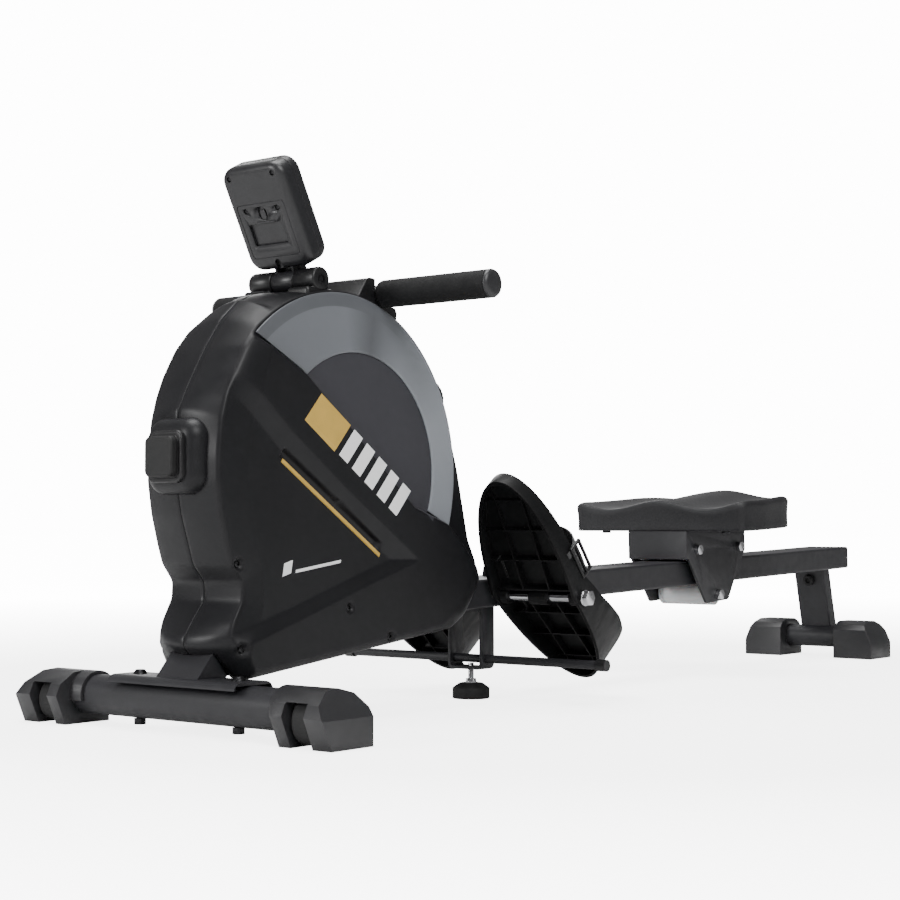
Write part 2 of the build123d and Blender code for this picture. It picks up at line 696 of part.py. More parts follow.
with BuildPart() as roller_bolts:
    with BuildSketch(rail_side()):
        with Locations(*ROLLERS):
            Circle(4.99)
    extrude(amount=CARRIAGE_HALF + 4, both=True)
    with BuildSketch(rail_side(-CARRIAGE_HALF - 4), rail_side(CARRIAGE_HALF + 4)):
        with Locations(*ROLLERS):
            RegularPolygon(9, 6)
    extrude(amount=3.95, both=True)
write(roller_bolts.part, "roller_bolts")

# ---------------------------------------------------------------- seat pad, its board and screws
PAD_FRONT, PAD_REAR = -100.0, 132.0
deck = rail_side()
seat_face = Plane(origin=deck.origin, x_dir=deck.x_dir, z_dir=(-sin(radians(RAIL_TILT)), 0, cos(radians(RAIL_TILT))))


def pad_outline(inset):
    """Plan of the seat: widest at the front, narrowing behind the thighs; drawn in (along the rail, y)."""
    with BuildSketch() as sketch:
        with BuildLine():
            Polyline((PAD_FRONT, -161), (PAD_FRONT + 70, -160), (PAD_REAR - 60, -140), (PAD_REAR, -118),
                     (PAD_REAR, 118), (PAD_REAR - 60, 140), (PAD_FRONT + 70, 160), (PAD_FRONT, 161), close=True)
        make_face()
        offset(amount=-22, kind=Kind.INTERSECTION, mode=Mode.REPLACE)
        offset(amount=22 - inset, kind=Kind.ARC, mode=Mode.REPLACE)
    return sketch.face()


with BuildPart() as seat_board:
    with BuildSketch(seat_face.offset(SEAT_BOTTOM)):
        add(pad_outline(10))
    extrude(amount=8)
write(seat_board.part, "seat_board")

with BuildPart() as seat_pad:
    with BuildSketch(Plane(origin=deck.origin, x_dir=(0, 1, 0), z_dir=deck.x_dir)):
        with BuildLine():
            top = Spline((-161, 100), (-100, 90), (0, 102), (100, 90), (161, 100),
                         tangents=((1, 0.25), (1, -0.25)))
            Polyline(top @ 1, (161, SEAT_BOTTOM), (-161, SEAT_BOTTOM), top @ 0)
        make_face()
    extrude(amount=140, both=True)
    with BuildSketch(seat_face.offset(SEAT_BOTTOM)):
        add(pad_outline(0))
    extrude(amount=80, mode=Mode.INTERSECT)
    with BuildSketch(seat_face.offset(SEAT_BOTTOM)):
        add(pad_outline(10))
    extrude(amount=8, mode=Mode.SUBTRACT)
write(seat_pad.part, "seat_pad")

with BuildPart() as seat_screws:
    with BuildSketch(seat_face.offset(SEAT_BOTTOM - 4)):
        with Locations((-75, -115), (-75, 115), (95, -88), (95, 88)):
            Circle(7)
    extrude(amount=4)
write(seat_screws.part, "seat_screws")

# ---------------------------------------------------------------- bracket, levelling foot and heel rod under the rail
BRACKET_W, BRACKET_D, BRACKET_Z = 60.0, 30.0, 42.0
ROD_X, ROD_Z = 549.0, 57.0
with BuildPart() as center_bracket:
    with BuildSketch(Plane(origin=(FRONT_X + FOOT_X, 0, 0), x_dir=(0, 1, 0), z_dir=(1, 0, 0))):
        with Locations((0, (BRACKET_Z + 140) / 2)):
            RectangleRounded(BRACKET_W, 140 - BRACKET_Z, 8)
        with Locations((0, (BRACKET_Z + 4 + 124) / 2)):
            RectangleRounded(BRACKET_W - 8, 120 - BRACKET_Z, 4, mode=Mode.SUBTRACT)
    extrude(amount=BRACKET_D / 2, both=True)
    under_rail = deck_plane(FOOT_X, -RAIL_H)
    split(bisect_by=under_rail, keep=Keep.BOTTOM)
    with BuildSketch(side()):
        with Locations((ROD_X, ROD_Z)):
            Circle(6.02)
    extrude(amount=60, both=True, mode=Mode.SUBTRACT)
    with BuildSketch(level(BRACKET_Z - 5)):
        with Locations((FOOT_X, 0)):
            Circle(4.06)
    extrude(amount=12, mode=Mode.SUBTRACT)
write(center_bracket.part, "center_bracket")

with BuildPart() as leveling_foot:
    with BuildSketch(level(0)):
        with Locations((FOOT_X, 0)):
            Circle(26.5)
    extrude(amount=15)
    with BuildSketch(level(15)):
        with Locations((FOOT_X, 0)):
            Circle(26.5)
    extrude(amount=7, taper=55)
write(leveling_foot.part, "leveling_foot")

with BuildPart() as leveling_stud:
    with BuildSketch(level(22)):
        with Locations((FOOT_X, 0)):
            Circle(4)
    extrude(amount=28)
    with BuildSketch(level(22.01)):
        with Locations((FOOT_X, 0)):
            Circle(8)
    extrude(amount=2)
    with BuildSketch(level(24)):
        with Locations((FOOT_X, 0)):
            RegularPolygon(7.5, 6)
    extrude(amount=4)
write(leveling_stud.part, "leveling_stud")

with BuildPart() as heel_rod:
    with BuildSketch(side()):
        with Locations((ROD_X, ROD_Z)):
            Circle(6)
    extrude(amount=228, both=True)
write(heel_rod.part, "heel_rod")

with BuildPart() as heel_rod_caps:
    for way in (-1, 1):
        with BuildSketch(side(way * 225)):
            with Locations((ROD_X, ROD_Z)):
                Circle(8)
        extrude(amount=8, both=True)
    with BuildSketch(side()):
        with Locations((ROD_X, ROD_Z)):
            Circle(6.01)
    extrude(amount=228, both=True, mode=Mode.SUBTRACT)
write(heel_rod_caps.part, "heel_rod_caps")

# ---------------------------------------------------------------- pedals on their axle
AXLE_HALF = 203.0
with BuildPart() as pedal_axle:
    with BuildSketch(side()):
        with Locations(PEDAL_AXIS):
            Circle(6)
    extrude(amount=AXLE_HALF - 8, both=True)
write(pedal_axle.part, "pedal_axle")

with BuildPart() as pedal_axle_bolts:
    for way in (-1, 1):
        with BuildSketch(side(way * (AXLE_HALF - 7.95))):
            with Locations(PEDAL_AXIS):
                Circle(11)
        extrude(amount=-way * 2)
        with BuildSketch(side(way * (AXLE_HALF - 5.95))):
            with Locations(PEDAL_AXIS):
                RegularPolygon(11, 6)
        extrude(amount=-way * 8)
write(pedal_axle_bolts.part, "pedal_axle_bolts")

CHORD_MID = (554.0, 166.5)
CHORD_LEAN = 37.4  # of the pedal's length from the vertical
chord = radians(CHORD_LEAN)
pedal_face = Plane(origin=(FRONT_X + CHORD_MID[0], -PEDAL_MID_Y, CHORD_MID[1]), x_dir=(0, 1, 0),
                   z_dir=(cos(chord), 0, sin(chord)))
RIM_BEND = (532, 147)
SOLE_TOE, SOLE_BEND, SOLE_HEEL = (459, 311), (554, 163), (679, 48)
BLANK = ((448, 305), RIM_BEND, (660, 28), (672, 34), (703, 84), (698, 96), (665, 118), (600, 150), (556, 178),
         (460, 323), (440, 318))
CAVITY = ((426, 296), (RIM_BEND[0] - 12, RIM_BEND[1] - 4), (655, 15), (SOLE_HEEL[0] - 3, SOLE_HEEL[1] - 5),
          (SOLE_BEND[0] - 4, SOLE_BEND[1] - 1), (SOLE_TOE[0] - 4, SOLE_TOE[1] + 6), (440, 330))
WELL = (SOLE_TOE, SOLE_BEND, (668, 58), (692, 92), (730, 130), (730, 340), (480, 380))


def pedal_slab(points, inset, square=0.0):
    """Side profile across the pedal's width, cut to an oval that is inset from the pedal's outline."""
    with BuildPart() as slab:
        with BuildSketch(side(-PEDAL_MID_Y)):
            with BuildLine():
                Polyline(*points, close=True)
            make_face()
        extrude(amount=PEDAL_W / 2 + 1, both=True)
        with BuildSketch(pedal_face):
            Ellipse(PEDAL_W / 2 - inset, PEDAL_L / 2 - inset)
        extrude(amount=150, both=True, mode=Mode.INTERSECT)
    return slab.part


with BuildPart() as pedal_ribs:
    add(pedal_slab(CAVITY, 5.5))
    with BuildSketch(pedal_face):
        with Locations((-22, 0), (22, 0)):
            Rectangle(2.5, PEDAL_L)
        with GridLocations(0, 46, 1, 7):
            Rectangle(PEDAL_W, 2.5)
    extrude(amount=150, both=True, mode=Mode.INTERSECT)
    with BuildSketch(side(-PEDAL_MID_Y)):
        with BuildLine():
            Polyline((460, 307), (543, 152), (670, 36), (720, 90), (560, 330), close=True)
        make_face()
    extrude(amount=PEDAL_W, both=True, mode=Mode.INTERSECT)

with BuildPart() as pedal:
    add(pedal_slab(BLANK, 0))
    add(pedal_slab(CAVITY, 5), mode=Mode.SUBTRACT)
    add(pedal_slab(WELL, 6), mode=Mode.SUBTRACT)
    add(pedal_ribs.part)
    with BuildSketch(side(-PEDAL_MID_Y)):
        with Locations(PEDAL_AXIS):
            Circle(11)
    extrude(amount=PEDAL_W / 2 - 3, both=True)
    # between its three bearings the axle lies open below the sole
    for middle in (-PEDAL_MID_Y - 34, -PEDAL_MID_Y + 34):
        with BuildSketch(side(middle)):
            with Locations((PEDAL_AXIS[0] - 6, PEDAL_AXIS[1] - 5)):
                Circle(14)
        extrude(amount=19, both=True, mode=Mode.SUBTRACT)
    with BuildSketch(side(-PEDAL_MID_Y)):
        with Locations(PEDAL_AXIS):
            Circle(6 + RUNNING)
    extrude(amount=PEDAL_W, both=True, mode=Mode.SUBTRACT)
    # two slots through the sole near its inner edge
    with BuildSketch(pedal_face):
        with Locations((50, 30), (46, -34)):
            Rectangle(4, 36)
    extrude(amount=150, both=True, mode=Mode.SUBTRACT)
write_pair(pedal.part, "pedal")

STRAP_UP, STRAP_BAND = 31.0, 45.0  # place along the pedal and width of the foot strap
strap_origin = (FRONT_X + CHORD_MID[0] - STRAP_UP * sin(chord), -PEDAL_MID_Y, CHORD_MID[1] + STRAP_UP * cos(chord))
with BuildPart() as pedal_strap:
    with BuildSketch(Plane(origin=strap_origin, x_dir=(0, 1, 0), z_dir=(sin(chord), 0, -cos(chord)))):
        Ellipse(68, 64)
        Ellipse(65.5, 61.5, mode=Mode.SUBTRACT)
        with Locations((0, -40)):
            Rectangle(160, 80, mode=Mode.SUBTRACT)
    extrude(amount=STRAP_BAND / 2, both=True)
    add(pedal_slab(BLANK, 0), mode=Mode.SUBTRACT)
with BuildPart() as strap_arch:
    add(pedal_strap.solids().sort_by(SortBy.VOLUME)[-1])
write_pair(strap_arch.part, "pedal_strap")

# ---------------------------------------------------------------- rear stand
POST_TOP, POST_FOOT = (1591.0, 157.0), (1615.0, 65.0)  # line of the post's front face
POST_W, POST_D = 60.0, 27.0
post_rise = Vector(POST_TOP[0] - POST_FOOT[0], 0, POST_TOP[1] - POST_FOOT[1]).normalized()
post_out = Vector(post_rise.Z, 0, -post_rise.X)
with BuildPart() as rear_post:
    foot = Vector(FRONT_X + POST_FOOT[0], 0, POST_FOOT[1]) + post_out * (POST_D / 2) - post_rise * 30
    with BuildSketch(Plane(origin=foot, x_dir=(0, 1, 0), z_dir=post_rise)):
        RectangleRounded(POST_W, POST_D, 3)
        RectangleRounded(POST_W - 4, POST_D - 4, 1.5, mode=Mode.SUBTRACT)
    extrude(amount=160)
    split(bisect_by=deck_plane(1600, -RAIL_H), keep=Keep.BOTTOM)
    with BuildSketch(side()):
        with Locations((REAR_AXIS_X, REAR_AXIS_Z)):
            Circle(REAR_TUBE_R + 0.01)
        with Locations((REAR_AXIS_X, 0)):
            Rectangle(120, 2 * REAR_AXIS_Z)
    extrude(amount=60, both=True, mode=Mode.SUBTRACT)
write(rear_post.part, "rear_post")

with BuildPart() as seat_stops:
    # rubber block on the rail ahead of the seat
    with BuildSketch(deck_plane(612)):
        RectangleRounded(18, 44, 5)
    extrude(amount=14, taper=8)
    # round buffer on the rear post, in the path of the lower roller
    seat_of_buffer = Vector(FRONT_X + POST_TOP[0], 0, POST_TOP[1]) - post_rise * 14
    with BuildSketch(Plane(origin=seat_of_buffer, x_dir=(0, 1, 0), z_dir=-post_out)):
        Circle(11)
    extrude(amount=8, taper=6)
    with BuildSketch(Plane(origin=seat_of_buffer - post_out * 8, x_dir=(0, 1, 0), z_dir=-post_out)):
        RegularPolygon(5, 6)
    extrude(amount=-4, mode=Mode.SUBTRACT)
write(seat_stops.part, "seat_stops")

with BuildPart() as rear_tube:
    with BuildSketch(side()):
        with Locations((REAR_AXIS_X, REAR_AXIS_Z)):
            Circle(REAR_TUBE_R)
            Circle(REAR_TUBE_R - TUBE_WALL, mode=Mode.SUBTRACT)
    extrude(amount=114, both=True)
write(rear_tube.part, "rear_stabilizer_tube")

REAR_CAP_IN = 53.7
with BuildPart() as rear_cap:
    with BuildSketch(side(-(REAR_CAP_IN + REAR_HALF) / 2)):
        with BuildLine():
            Polyline((1580.4, 0), (1665.5, 0), (1665.5, 50), (1655, 62), (1640, 68), (1604, 68), (1588, 62),
                     (1580.4, 52), close=True)
        make_face()
    extrude(amount=(REAR_HALF - REAR_CAP_IN) / 2, both=True)
    with BuildSketch(Plane(origin=(FRONT_X + REAR_AXIS_X, 0, 0), x_dir=(0, 1, 0), z_dir=(1, 0, 0))):
        with BuildLine():
            Polyline((-REAR_HALF - 1, 29), (-REAR_HALF, 29), (-REAR_HALF + 11, 54), (-REAR_HALF + 20, 69),
                     (-REAR_HALF - 1, 69), close=True)
        make_face()
    extrude(amount=60, both=True, mode=Mode.SUBTRACT)
    with BuildSketch(side(-REAR_CAP_IN)):
        with Locations((REAR_AXIS_X, REAR_AXIS_Z)):
            Circle(REAR_TUBE_R + 0.1)
    extrude(amount=61, mode=Mode.SUBTRACT)
write_pair(rear_cap.part, "rear_cap")
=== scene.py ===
"""Compact magnetic rowing machine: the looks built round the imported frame."""

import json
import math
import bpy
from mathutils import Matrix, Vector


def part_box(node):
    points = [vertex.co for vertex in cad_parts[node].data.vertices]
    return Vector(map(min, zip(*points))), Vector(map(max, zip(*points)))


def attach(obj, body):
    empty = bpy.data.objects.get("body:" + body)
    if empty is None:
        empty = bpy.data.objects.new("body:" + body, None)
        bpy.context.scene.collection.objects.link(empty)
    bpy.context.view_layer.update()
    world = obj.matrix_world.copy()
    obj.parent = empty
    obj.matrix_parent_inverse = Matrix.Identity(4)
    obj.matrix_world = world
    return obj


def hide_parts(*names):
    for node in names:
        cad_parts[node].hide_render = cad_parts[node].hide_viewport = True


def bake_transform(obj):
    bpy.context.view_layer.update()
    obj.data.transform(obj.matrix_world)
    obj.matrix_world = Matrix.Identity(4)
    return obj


bl_info = {
    "name": "Rowing machine",
    "version": (1, 0, 0),
    "blender": (4, 5, 0),
    "location": "View3D > Sidebar > Rower",
    "description": "Builds the casing, seat, pedals, console and finishes round a rowing machine's frame",
    "category": "Add Mesh",
}

import bmesh
import bpy
import numpy as np
from bpy.props import FloatProperty, FloatVectorProperty, IntProperty, PointerProperty
from mathutils import Vector

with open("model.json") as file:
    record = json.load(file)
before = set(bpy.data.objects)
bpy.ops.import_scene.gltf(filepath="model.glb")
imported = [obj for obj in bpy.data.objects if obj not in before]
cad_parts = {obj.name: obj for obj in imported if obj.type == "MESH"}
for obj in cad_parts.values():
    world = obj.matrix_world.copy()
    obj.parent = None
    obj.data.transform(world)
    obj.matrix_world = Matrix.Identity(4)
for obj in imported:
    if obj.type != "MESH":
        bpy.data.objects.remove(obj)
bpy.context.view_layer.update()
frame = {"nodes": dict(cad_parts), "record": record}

# Lengths below are millimetres.  Profiles are given behind the front stabiliser's axis, as on the frame.
TUBE_LOW, TUBE_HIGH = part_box("front_stabilizer_tube")
FRONT_X = (TUBE_LOW.x + TUBE_HIGH.x) / 2 * 1000
TO_M = 0.001


def centre_of(node):
    """Middle of a frame node's box, in millimetres behind the front axis."""
    low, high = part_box(node)
    middle = np.array((low + high) / 2) * 1000
    return middle - (FRONT_X, 0, 0)


def size_of(node):
    """Size of a frame node's box in millimetres."""
    low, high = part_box(node)
    return np.array(high - low) * 1000


CASE_HALF = 60.0  # half width of the casing's rim
CHEEK_FACE = size_of("cover_left")[1]  # half width over the raised cheeks
CROWN, CROWN_R = np.array((205.6, 314.0)), 228.5
FACE, FACE_R = np.array((234.6, 315.4)), 151.2
RAIL_TILT = math.radians(1.76)
HANDLE = centre_of("handle_bar")
HINGE = centre_of("console_hinge_pin")
CONSOLE_LEAN = math.radians(27.7)
PEDAL_LEAN = math.radians(37.4)


# ---------------------------------------------------------------- properties
def colour(name, description, default):
    return FloatVectorProperty(name=name, description=description, default=default, size=3, min=0, max=1,
                               subtype="COLOR")


def length(name, description, default, low=0.0, high=1.0):
    return FloatProperty(name=name, description=description, default=default, min=low, max=high,
                         subtype="DISTANCE", unit="LENGTH")


class RowerColours(bpy.types.PropertyGroup):
    """Colours of the machine's finishes."""

    casing: colour("Casing", "Satin plastic of the two covers", (0.0080, 0.0080, 0.0092))
    inlay: colour("Inlay", "Grey crescent in the casing's side", (0.160, 0.170, 0.186))
    gold: colour("Gold", "Gold accents", (0.62, 0.40, 0.085))
    mark: colour("Marks", "White slanted marks", (0.85, 0.85, 0.85))
    powder: colour("Powder coat", "Rail, posts and carriage", (0.0180, 0.0180, 0.0205))
    plastic: colour("Black plastic", "Caps, pedals and holder", (0.0060, 0.0060, 0.0066))
    console: colour("Console", "Console shells", (0.0110, 0.0110, 0.0125))
    seat: colour("Seat", "Moulded seat skin", (0.0120, 0.0120, 0.0135))
    foam: colour("Foam", "Handle grips", (0.0030, 0.0030, 0.0034))
    rubber: colour("Rubber", "Wheels and feet", (0.0060, 0.0060, 0.0062))
    nylon: colour("Nylon", "Seat rollers", (0.60, 0.615, 0.62))
    floor: colour("Floor", "Studio floor", (0.80, 0.80, 0.80))


class RowerSizes(bpy.types.PropertyGroup):
    """Sizes that change the look without changing the frame."""

    rim_radius: length("Cheek edge", "Rounding of the raised cheeks", 0.009, 0.002, 0.02)
    panel_depth: length("Panel depth", "How deep the lower panel lies behind the cheeks", 0.0085, 0.0, 0.012)
    seat_edge: length("Seat edge", "Rounding of the seat's top edge", 0.009, 0.004, 0.02)
    seat_dip: length("Seat dip", "Depth of the thigh hollows", 0.014, 0.0, 0.02)
    console_edge: length("Console edge", "Rounding of the console's rims", 0.007, 0.002, 0.012)
    lens: FloatProperty(name="Lens", description="Camera focal length in millimetres", default=72.62,
                        min=20, max=200)
    side_rings: IntProperty(name="Side rings", description="Rings of points across the casing's side",
                            default=129, min=30, max=180)


# ---------------------------------------------------------------- shape helpers
def place(points):
    """Millimetres behind the front axis to metres in the row frame."""
    return (np.asarray(points, float) + (FRONT_X, 0.0, 0.0)) * TO_M


def smooth(value):
    """Rises from 0 to 1 along 3t^2 - 2t^3 as value goes from 0 to 1."""
    t = np.clip(value, 0.0, 1.0)
    return t * t * (3.0 - 2.0 * t)


def add_surface(name, grids, finish, body, smooth_faces=True, weld=2e-5):
    """Makes one mesh from point grids.

    Each grid is (points, wrap, keep): points are rows x columns x 3 in metres, neighbours make quads, wrap
    joins the last column to the first, and keep is None or a mask of the quads to keep.
    """
    points, quads, start = [], [], 0
    for grid, wrap, keep in grids:
        rows, columns, _ = grid.shape
        index = np.arange(rows * columns).reshape(rows, columns) + start
        if wrap:
            index = np.concatenate([index, index[:, :1]], axis=1)
        quad = np.stack([index[:-1, :-1], index[1:, :-1], index[1:, 1:], index[:-1, 1:]], axis=-1)
        quad = quad.reshape(-1, 4) if keep is None else quad[keep]
        points.append(grid.reshape(-1, 3))
        quads.append(quad)
        start += rows * columns
    mesh = bpy.data.meshes.new(name)
    mesh.from_pydata(np.concatenate(points).tolist(), [], np.concatenate(quads).tolist())
    work = bmesh.new()
    work.from_mesh(mesh)
    bmesh.ops.remove_doubles(work, verts=work.verts, dist=weld)
    loose = [v for v in work.verts if not v.link_faces]
    bmesh.ops.delete(work, geom=loose, context="VERTS")
    bmesh.ops.recalc_face_normals(work, faces=work.faces)
    work.to_mesh(mesh)
    work.free()
    mesh.polygons.foreach_set("use_smooth", [smooth_faces] * len(mesh.polygons))
    piece = bpy.data.objects.new(name, mesh)
    bpy.context.scene.collection.objects.link(piece)
    piece.data.materials.append(finish)
    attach(piece, body)
    return piece


def modifier(piece, kind, **values):
    """Adds a modifier with its values."""
    extra = piece.modifiers.new(kind.title(), kind)
    for key, value in values.items():
        setattr(extra, key, value)
    return extra


def frame_of(axis, hint=(0.0, 1.0, 0.0)):
    """Two unit vectors square to axis, the first as near to hint as can be."""
    axis = np.asarray(axis, float) / np.linalg.norm(axis)
    if abs(np.dot(hint, axis)) > 0.99:
        hint = (0.0, 0.0, 1.0)
    across = np.asarray(hint, float) - np.dot(hint, axis) * axis
    across /= np.linalg.norm(across)
    return axis, across, np.cross(axis, across)


def lathe(origin, axis, profile, count=48, hint=(0.0, 1.0, 0.0), wave=None):
    """Grid of a turned shape: each (along, radius) is swept round the axis; wave scales the radius."""
    axis, across, up = frame_of(axis, hint)
    turn = np.linspace(0, 2 * math.pi, count, endpoint=False)
    along, radius = np.asarray(profile, float).T
    ring = np.cos(turn)[:, None] * across + np.sin(turn)[:, None] * up
    factor = np.ones_like(turn) if wave is None else wave(turn)
    reach = radius[:, None, None] * factor[None, :, None]
    return np.asarray(origin, float) + along[:, None, None] * axis + reach * ring[None]


def rounded_loop(half_w, half_h, corner, count=9):
    """Loops of a rounded rectangle, one for each row of the arrays: corner centres plus quarter circles."""
    values = (np.atleast_1d(np.asarray(v, float)) for v in (half_w, half_h, corner))
    half_w, half_h, corner = np.broadcast_arrays(*values)
    quarter = np.linspace(0, math.pi / 2, count)
    turn = np.concatenate([quarter + k * math.pi / 2 for k in range(4)])
    sign_x = np.repeat([1, -1, -1, 1], count)
    sign_y = np.repeat([1, 1, -1, -1], count)
    x = (half_w - corner)[:, None] * sign_x + corner[:, None] * np.cos(turn)
    y = (half_h - corner)[:, None] * sign_y + corner[:, None] * np.sin(turn)
    return np.stack([x, y], axis=-1)


def slab(origin, normal, half_w, half_h, depth, corner, edge_back, edge_front, hint=(0.0, 1.0, 0.0), steps=6):
    """Closed rounded box whose rounded-rectangle loops are inset along a quarter circle at both rims.

    It reaches from origin along normal by depth; half_w lies along hint.
    """
    normal, across, up = frame_of(normal, hint)
    turn = np.linspace(0, math.pi / 2, steps)
    back_depth, back_inset = edge_back * (1 - np.cos(turn)), edge_back * (1 - np.sin(turn))
    front_depth, front_inset = depth - edge_front + edge_front * np.sin(turn), edge_front * (1 - np.cos(turn))
    along = np.concatenate([[0, 0, 0], back_depth, front_depth, [depth, depth, depth]])
    inset = np.concatenate([[back_inset[0]] * 3, back_inset, front_inset, [front_inset[-1]] * 3])
    shrink = np.concatenate([[0.0, 0.5, 0.9], np.ones(2 * steps), [0.9, 0.5, 0.0]])
    loops = rounded_loop(half_w - inset, half_h - inset, np.maximum(corner - inset, 0.4))
    loops = loops * shrink[:, None, None]
    return (np.asarray(origin, float) + along[:, None, None] * normal + loops[..., :1] * across
            + loops[..., 1:] * up)


def distance_to_line(points, line, closed=False):
    """Distance from each (x, z) point to a polyline, and +1 or -1 for the side of its nearest segment."""
    line = np.asarray(line, float)
    ends = np.roll(line, -1, axis=0) if closed else line[1:]
    starts = line if closed else line[:-1]
    best = np.full(points.shape[:-1], np.inf)
    side = np.ones(points.shape[:-1])
    for start, end in zip(starts, ends):
        run = end - start
        t = np.clip(((points - start) @ run) / (run @ run), 0, 1)
        gap = points - start - t[..., None] * run
        distance = np.linalg.norm(gap, axis=-1)
        nearer = distance < best
        best = np.where(nearer, distance, best)
        cross = run[0] * gap[..., 1] - run[1] * gap[..., 0]
        side = np.where(nearer, np.where(cross >= 0, 1.0, -1.0), side)
    return best, side


# ---------------------------------------------------------------- finishes
class Nodes:
    """Short hand for building one material's node tree round its Principled shader."""

    def __init__(self, name):
        self.material = bpy.data.materials.new(name)
        self.material.use_nodes = True
        self.tree = self.material.node_tree
        self.shader = self.tree.nodes["Principled BSDF"]
        self.where = self.add("ShaderNodeTexCoord").outputs["Object"]

    def add(self, kind, inputs=None, **settings):
        node = self.tree.nodes.new(kind)
        for key, value in settings.items():
            setattr(node, key, value)
        for key, value in (inputs or {}).items():
            if isinstance(value, bpy.types.NodeSocket):
                self.tree.links.new(value, node.inputs[key])
            else:
                node.inputs[key].default_value = value
        return node

    def noise(self, scale, detail=2.0, stretch=(1.0, 1.0, 1.0)):
        """Noise over Object coordinates, stretched along the axes."""
        where = self.add("ShaderNodeMapping", {"Vector": self.where, "Scale": stretch}).outputs["Vector"]
        inputs = {"Vector": where, "Scale": scale, "Detail": detail}
        return self.add("ShaderNodeTexNoise", inputs).outputs["Fac"]

    def cells(self, scale):
        """Distance to the nearest of many scattered points."""
        return self.add("ShaderNodeTexVoronoi", {"Vector": self.where, "Scale": scale}).outputs["Distance"]

    def math(self, operation, first, second):
        return self.add("ShaderNodeMath", {0: first, 1: second}, operation=operation).outputs["Value"]

    def vector(self, operation, first, second=None):
        """Outputs of a vector operation: a vector, or a number for lengths and products."""
        inputs = {0: first} if second is None else {0: first, 1: second}
        outputs = self.add("ShaderNodeVectorMath", inputs, operation=operation).outputs
        return outputs["Value" if operation in ("LENGTH", "DOT_PRODUCT") else "Vector"]

    def about(self, centre):
        """Offset from a point in the casing's side, given in millimetres, and its length along the side."""
        offset = self.vector("SUBTRACT", self.where, tuple(place((centre[0], 0, centre[1]))))
        return offset, self.vector("LENGTH", self.vector("MULTIPLY", offset, (1, 0, 1)))

    def spread(self, value, low, high, start=0.3, end=0.7):
        """Maps value from start..end to low..high."""
        inputs = {"Value": value, "From Min": start, "From Max": end, "To Min": low, "To Max": high}
        return self.add("ShaderNodeMapRange", inputs).outputs["Result"]

    def mix(self, factor, first, second):
        node = self.add("ShaderNodeMix", {"Factor": factor}, data_type="RGBA")
        for name, value in (("A", first), ("B", second)):
            socket = [s for s in node.inputs if s.type == "RGBA" and s.name == name][0]
            if isinstance(value, bpy.types.NodeSocket):
                self.tree.links.new(value, socket)
            else:
                socket.default_value = value
        return [s for s in node.outputs if s.type == "RGBA"][0]

    def bump(self, height, strength, distance):
        normal = self.add("ShaderNodeBump", {"Height": height, "Strength": strength, "Distance": distance})
        self.tree.links.new(normal.outputs["Normal"], self.shader.inputs["Normal"])

    def put(self, **sockets):
        """Sets or links the shader's sockets; underscores stand for spaces."""
        for key, value in sockets.items():
            socket = self.shader.inputs[key.replace("_", " ")]
            if isinstance(value, bpy.types.NodeSocket):
                self.tree.links.new(value, socket)
            else:
                socket.default_value = value
        return self.material


def shade(tint, factor):
    """A colour made lighter or darker, with its alpha."""
    return tuple(min(1.0, c * factor) for c in tint) + (1.0,)


def moulded(name, tint, rough, grain=0.10, grain_scale=1500, mottle=0.14, sheen=0.0, specular=0.5):
    """Moulded plastic: faint cloudy colour, uneven gloss and a fine spark-eroded grain."""
    n = Nodes(name)
    cloud = n.noise(9, 5)
    n.bump(n.noise(grain_scale, 2), grain, 0.0004)
    return n.put(Base_Color=n.mix(n.spread(cloud, 0, 1), shade(tint, 1 - mottle), shade(tint, 1 + mottle)),
                 Roughness=n.spread(n.noise(38, 4), rough - 0.05, rough + 0.05), Sheen_Weight=sheen,
                 Specular_IOR_Level=specular)


def casing_plastic(name, tint):
    """Satin casing plastic; the plain disc above the diagonal band is painted much lighter, a painted
    highlight where it catches the light.
    """
    n = Nodes(name)
    offset, radius = n.about(FACE)
    run = np.array(BAND_TOP[4], float) - BAND_TOP[2]
    square = np.array((-run[1], run[0])) / np.linalg.norm(run)
    past = n.vector("DOT_PRODUCT", offset, (square[0], 0, square[1]))
    edge = float((np.array(BAND_TOP[2]) - FACE) @ square) * TO_M
    inside = n.spread(radius, 1, 0, FACE_R * TO_M - 0.001, FACE_R * TO_M)
    above = n.spread(past, 0, 1, edge, edge + 0.001)
    # mask of the plain disc: there the colour is painted 5.2 times lighter, a painted highlight
    disc = n.math("MULTIPLY", inside, above)
    cloud = n.spread(n.noise(9, 5), 0, 1)
    plain = n.mix(cloud, shade(tint, 0.86), shade(tint, 1.14))
    n.bump(n.noise(1500, 2), 0.10, 0.0004)
    return n.put(Base_Color=n.mix(disc, plain, shade(tint, 5.2)),
                 Roughness=n.spread(n.noise(38, 4), 0.36, 0.46), Specular_IOR_Level=0.24)


def powder_coat(name, tint):
    """Powder coat: orange-peel bump with tiny dark and light specks."""
    n = Nodes(name)
    speck = n.spread(n.cells(1900), 0, 1, 0.05, 0.5)
    peel = n.math("ADD", n.noise(620, 3), n.math("MULTIPLY", n.cells(1900), 0.5))
    n.bump(peel, 0.16, 0.0005)
    return n.put(Base_Color=n.mix(speck, shade(tint, 1.35), shade(tint, 0.9)),
                 Roughness=n.spread(n.noise(60, 4), 0.40, 0.52), Specular_IOR_Level=0.36)


def metal(name, tint, rough, streak=(1.0, 1.0, 1.0), scale=140, wear=0.2, metallic=1.0):
    """Bare or plated metal: directional polishing marks in gloss and height, darker in its stains."""
    n = Nodes(name)
    marks = n.noise(scale, 4, streak)
    stain = n.spread(n.noise(45, 5), 0, 1)
    n.bump(marks, 0.05, 0.0003)
    return n.put(Base_Color=n.mix(stain, shade(tint, 1 - wear), shade(tint, 1.0)), Metallic=metallic,
                 Roughness=n.spread(marks, rough * 0.7, rough * 1.4))


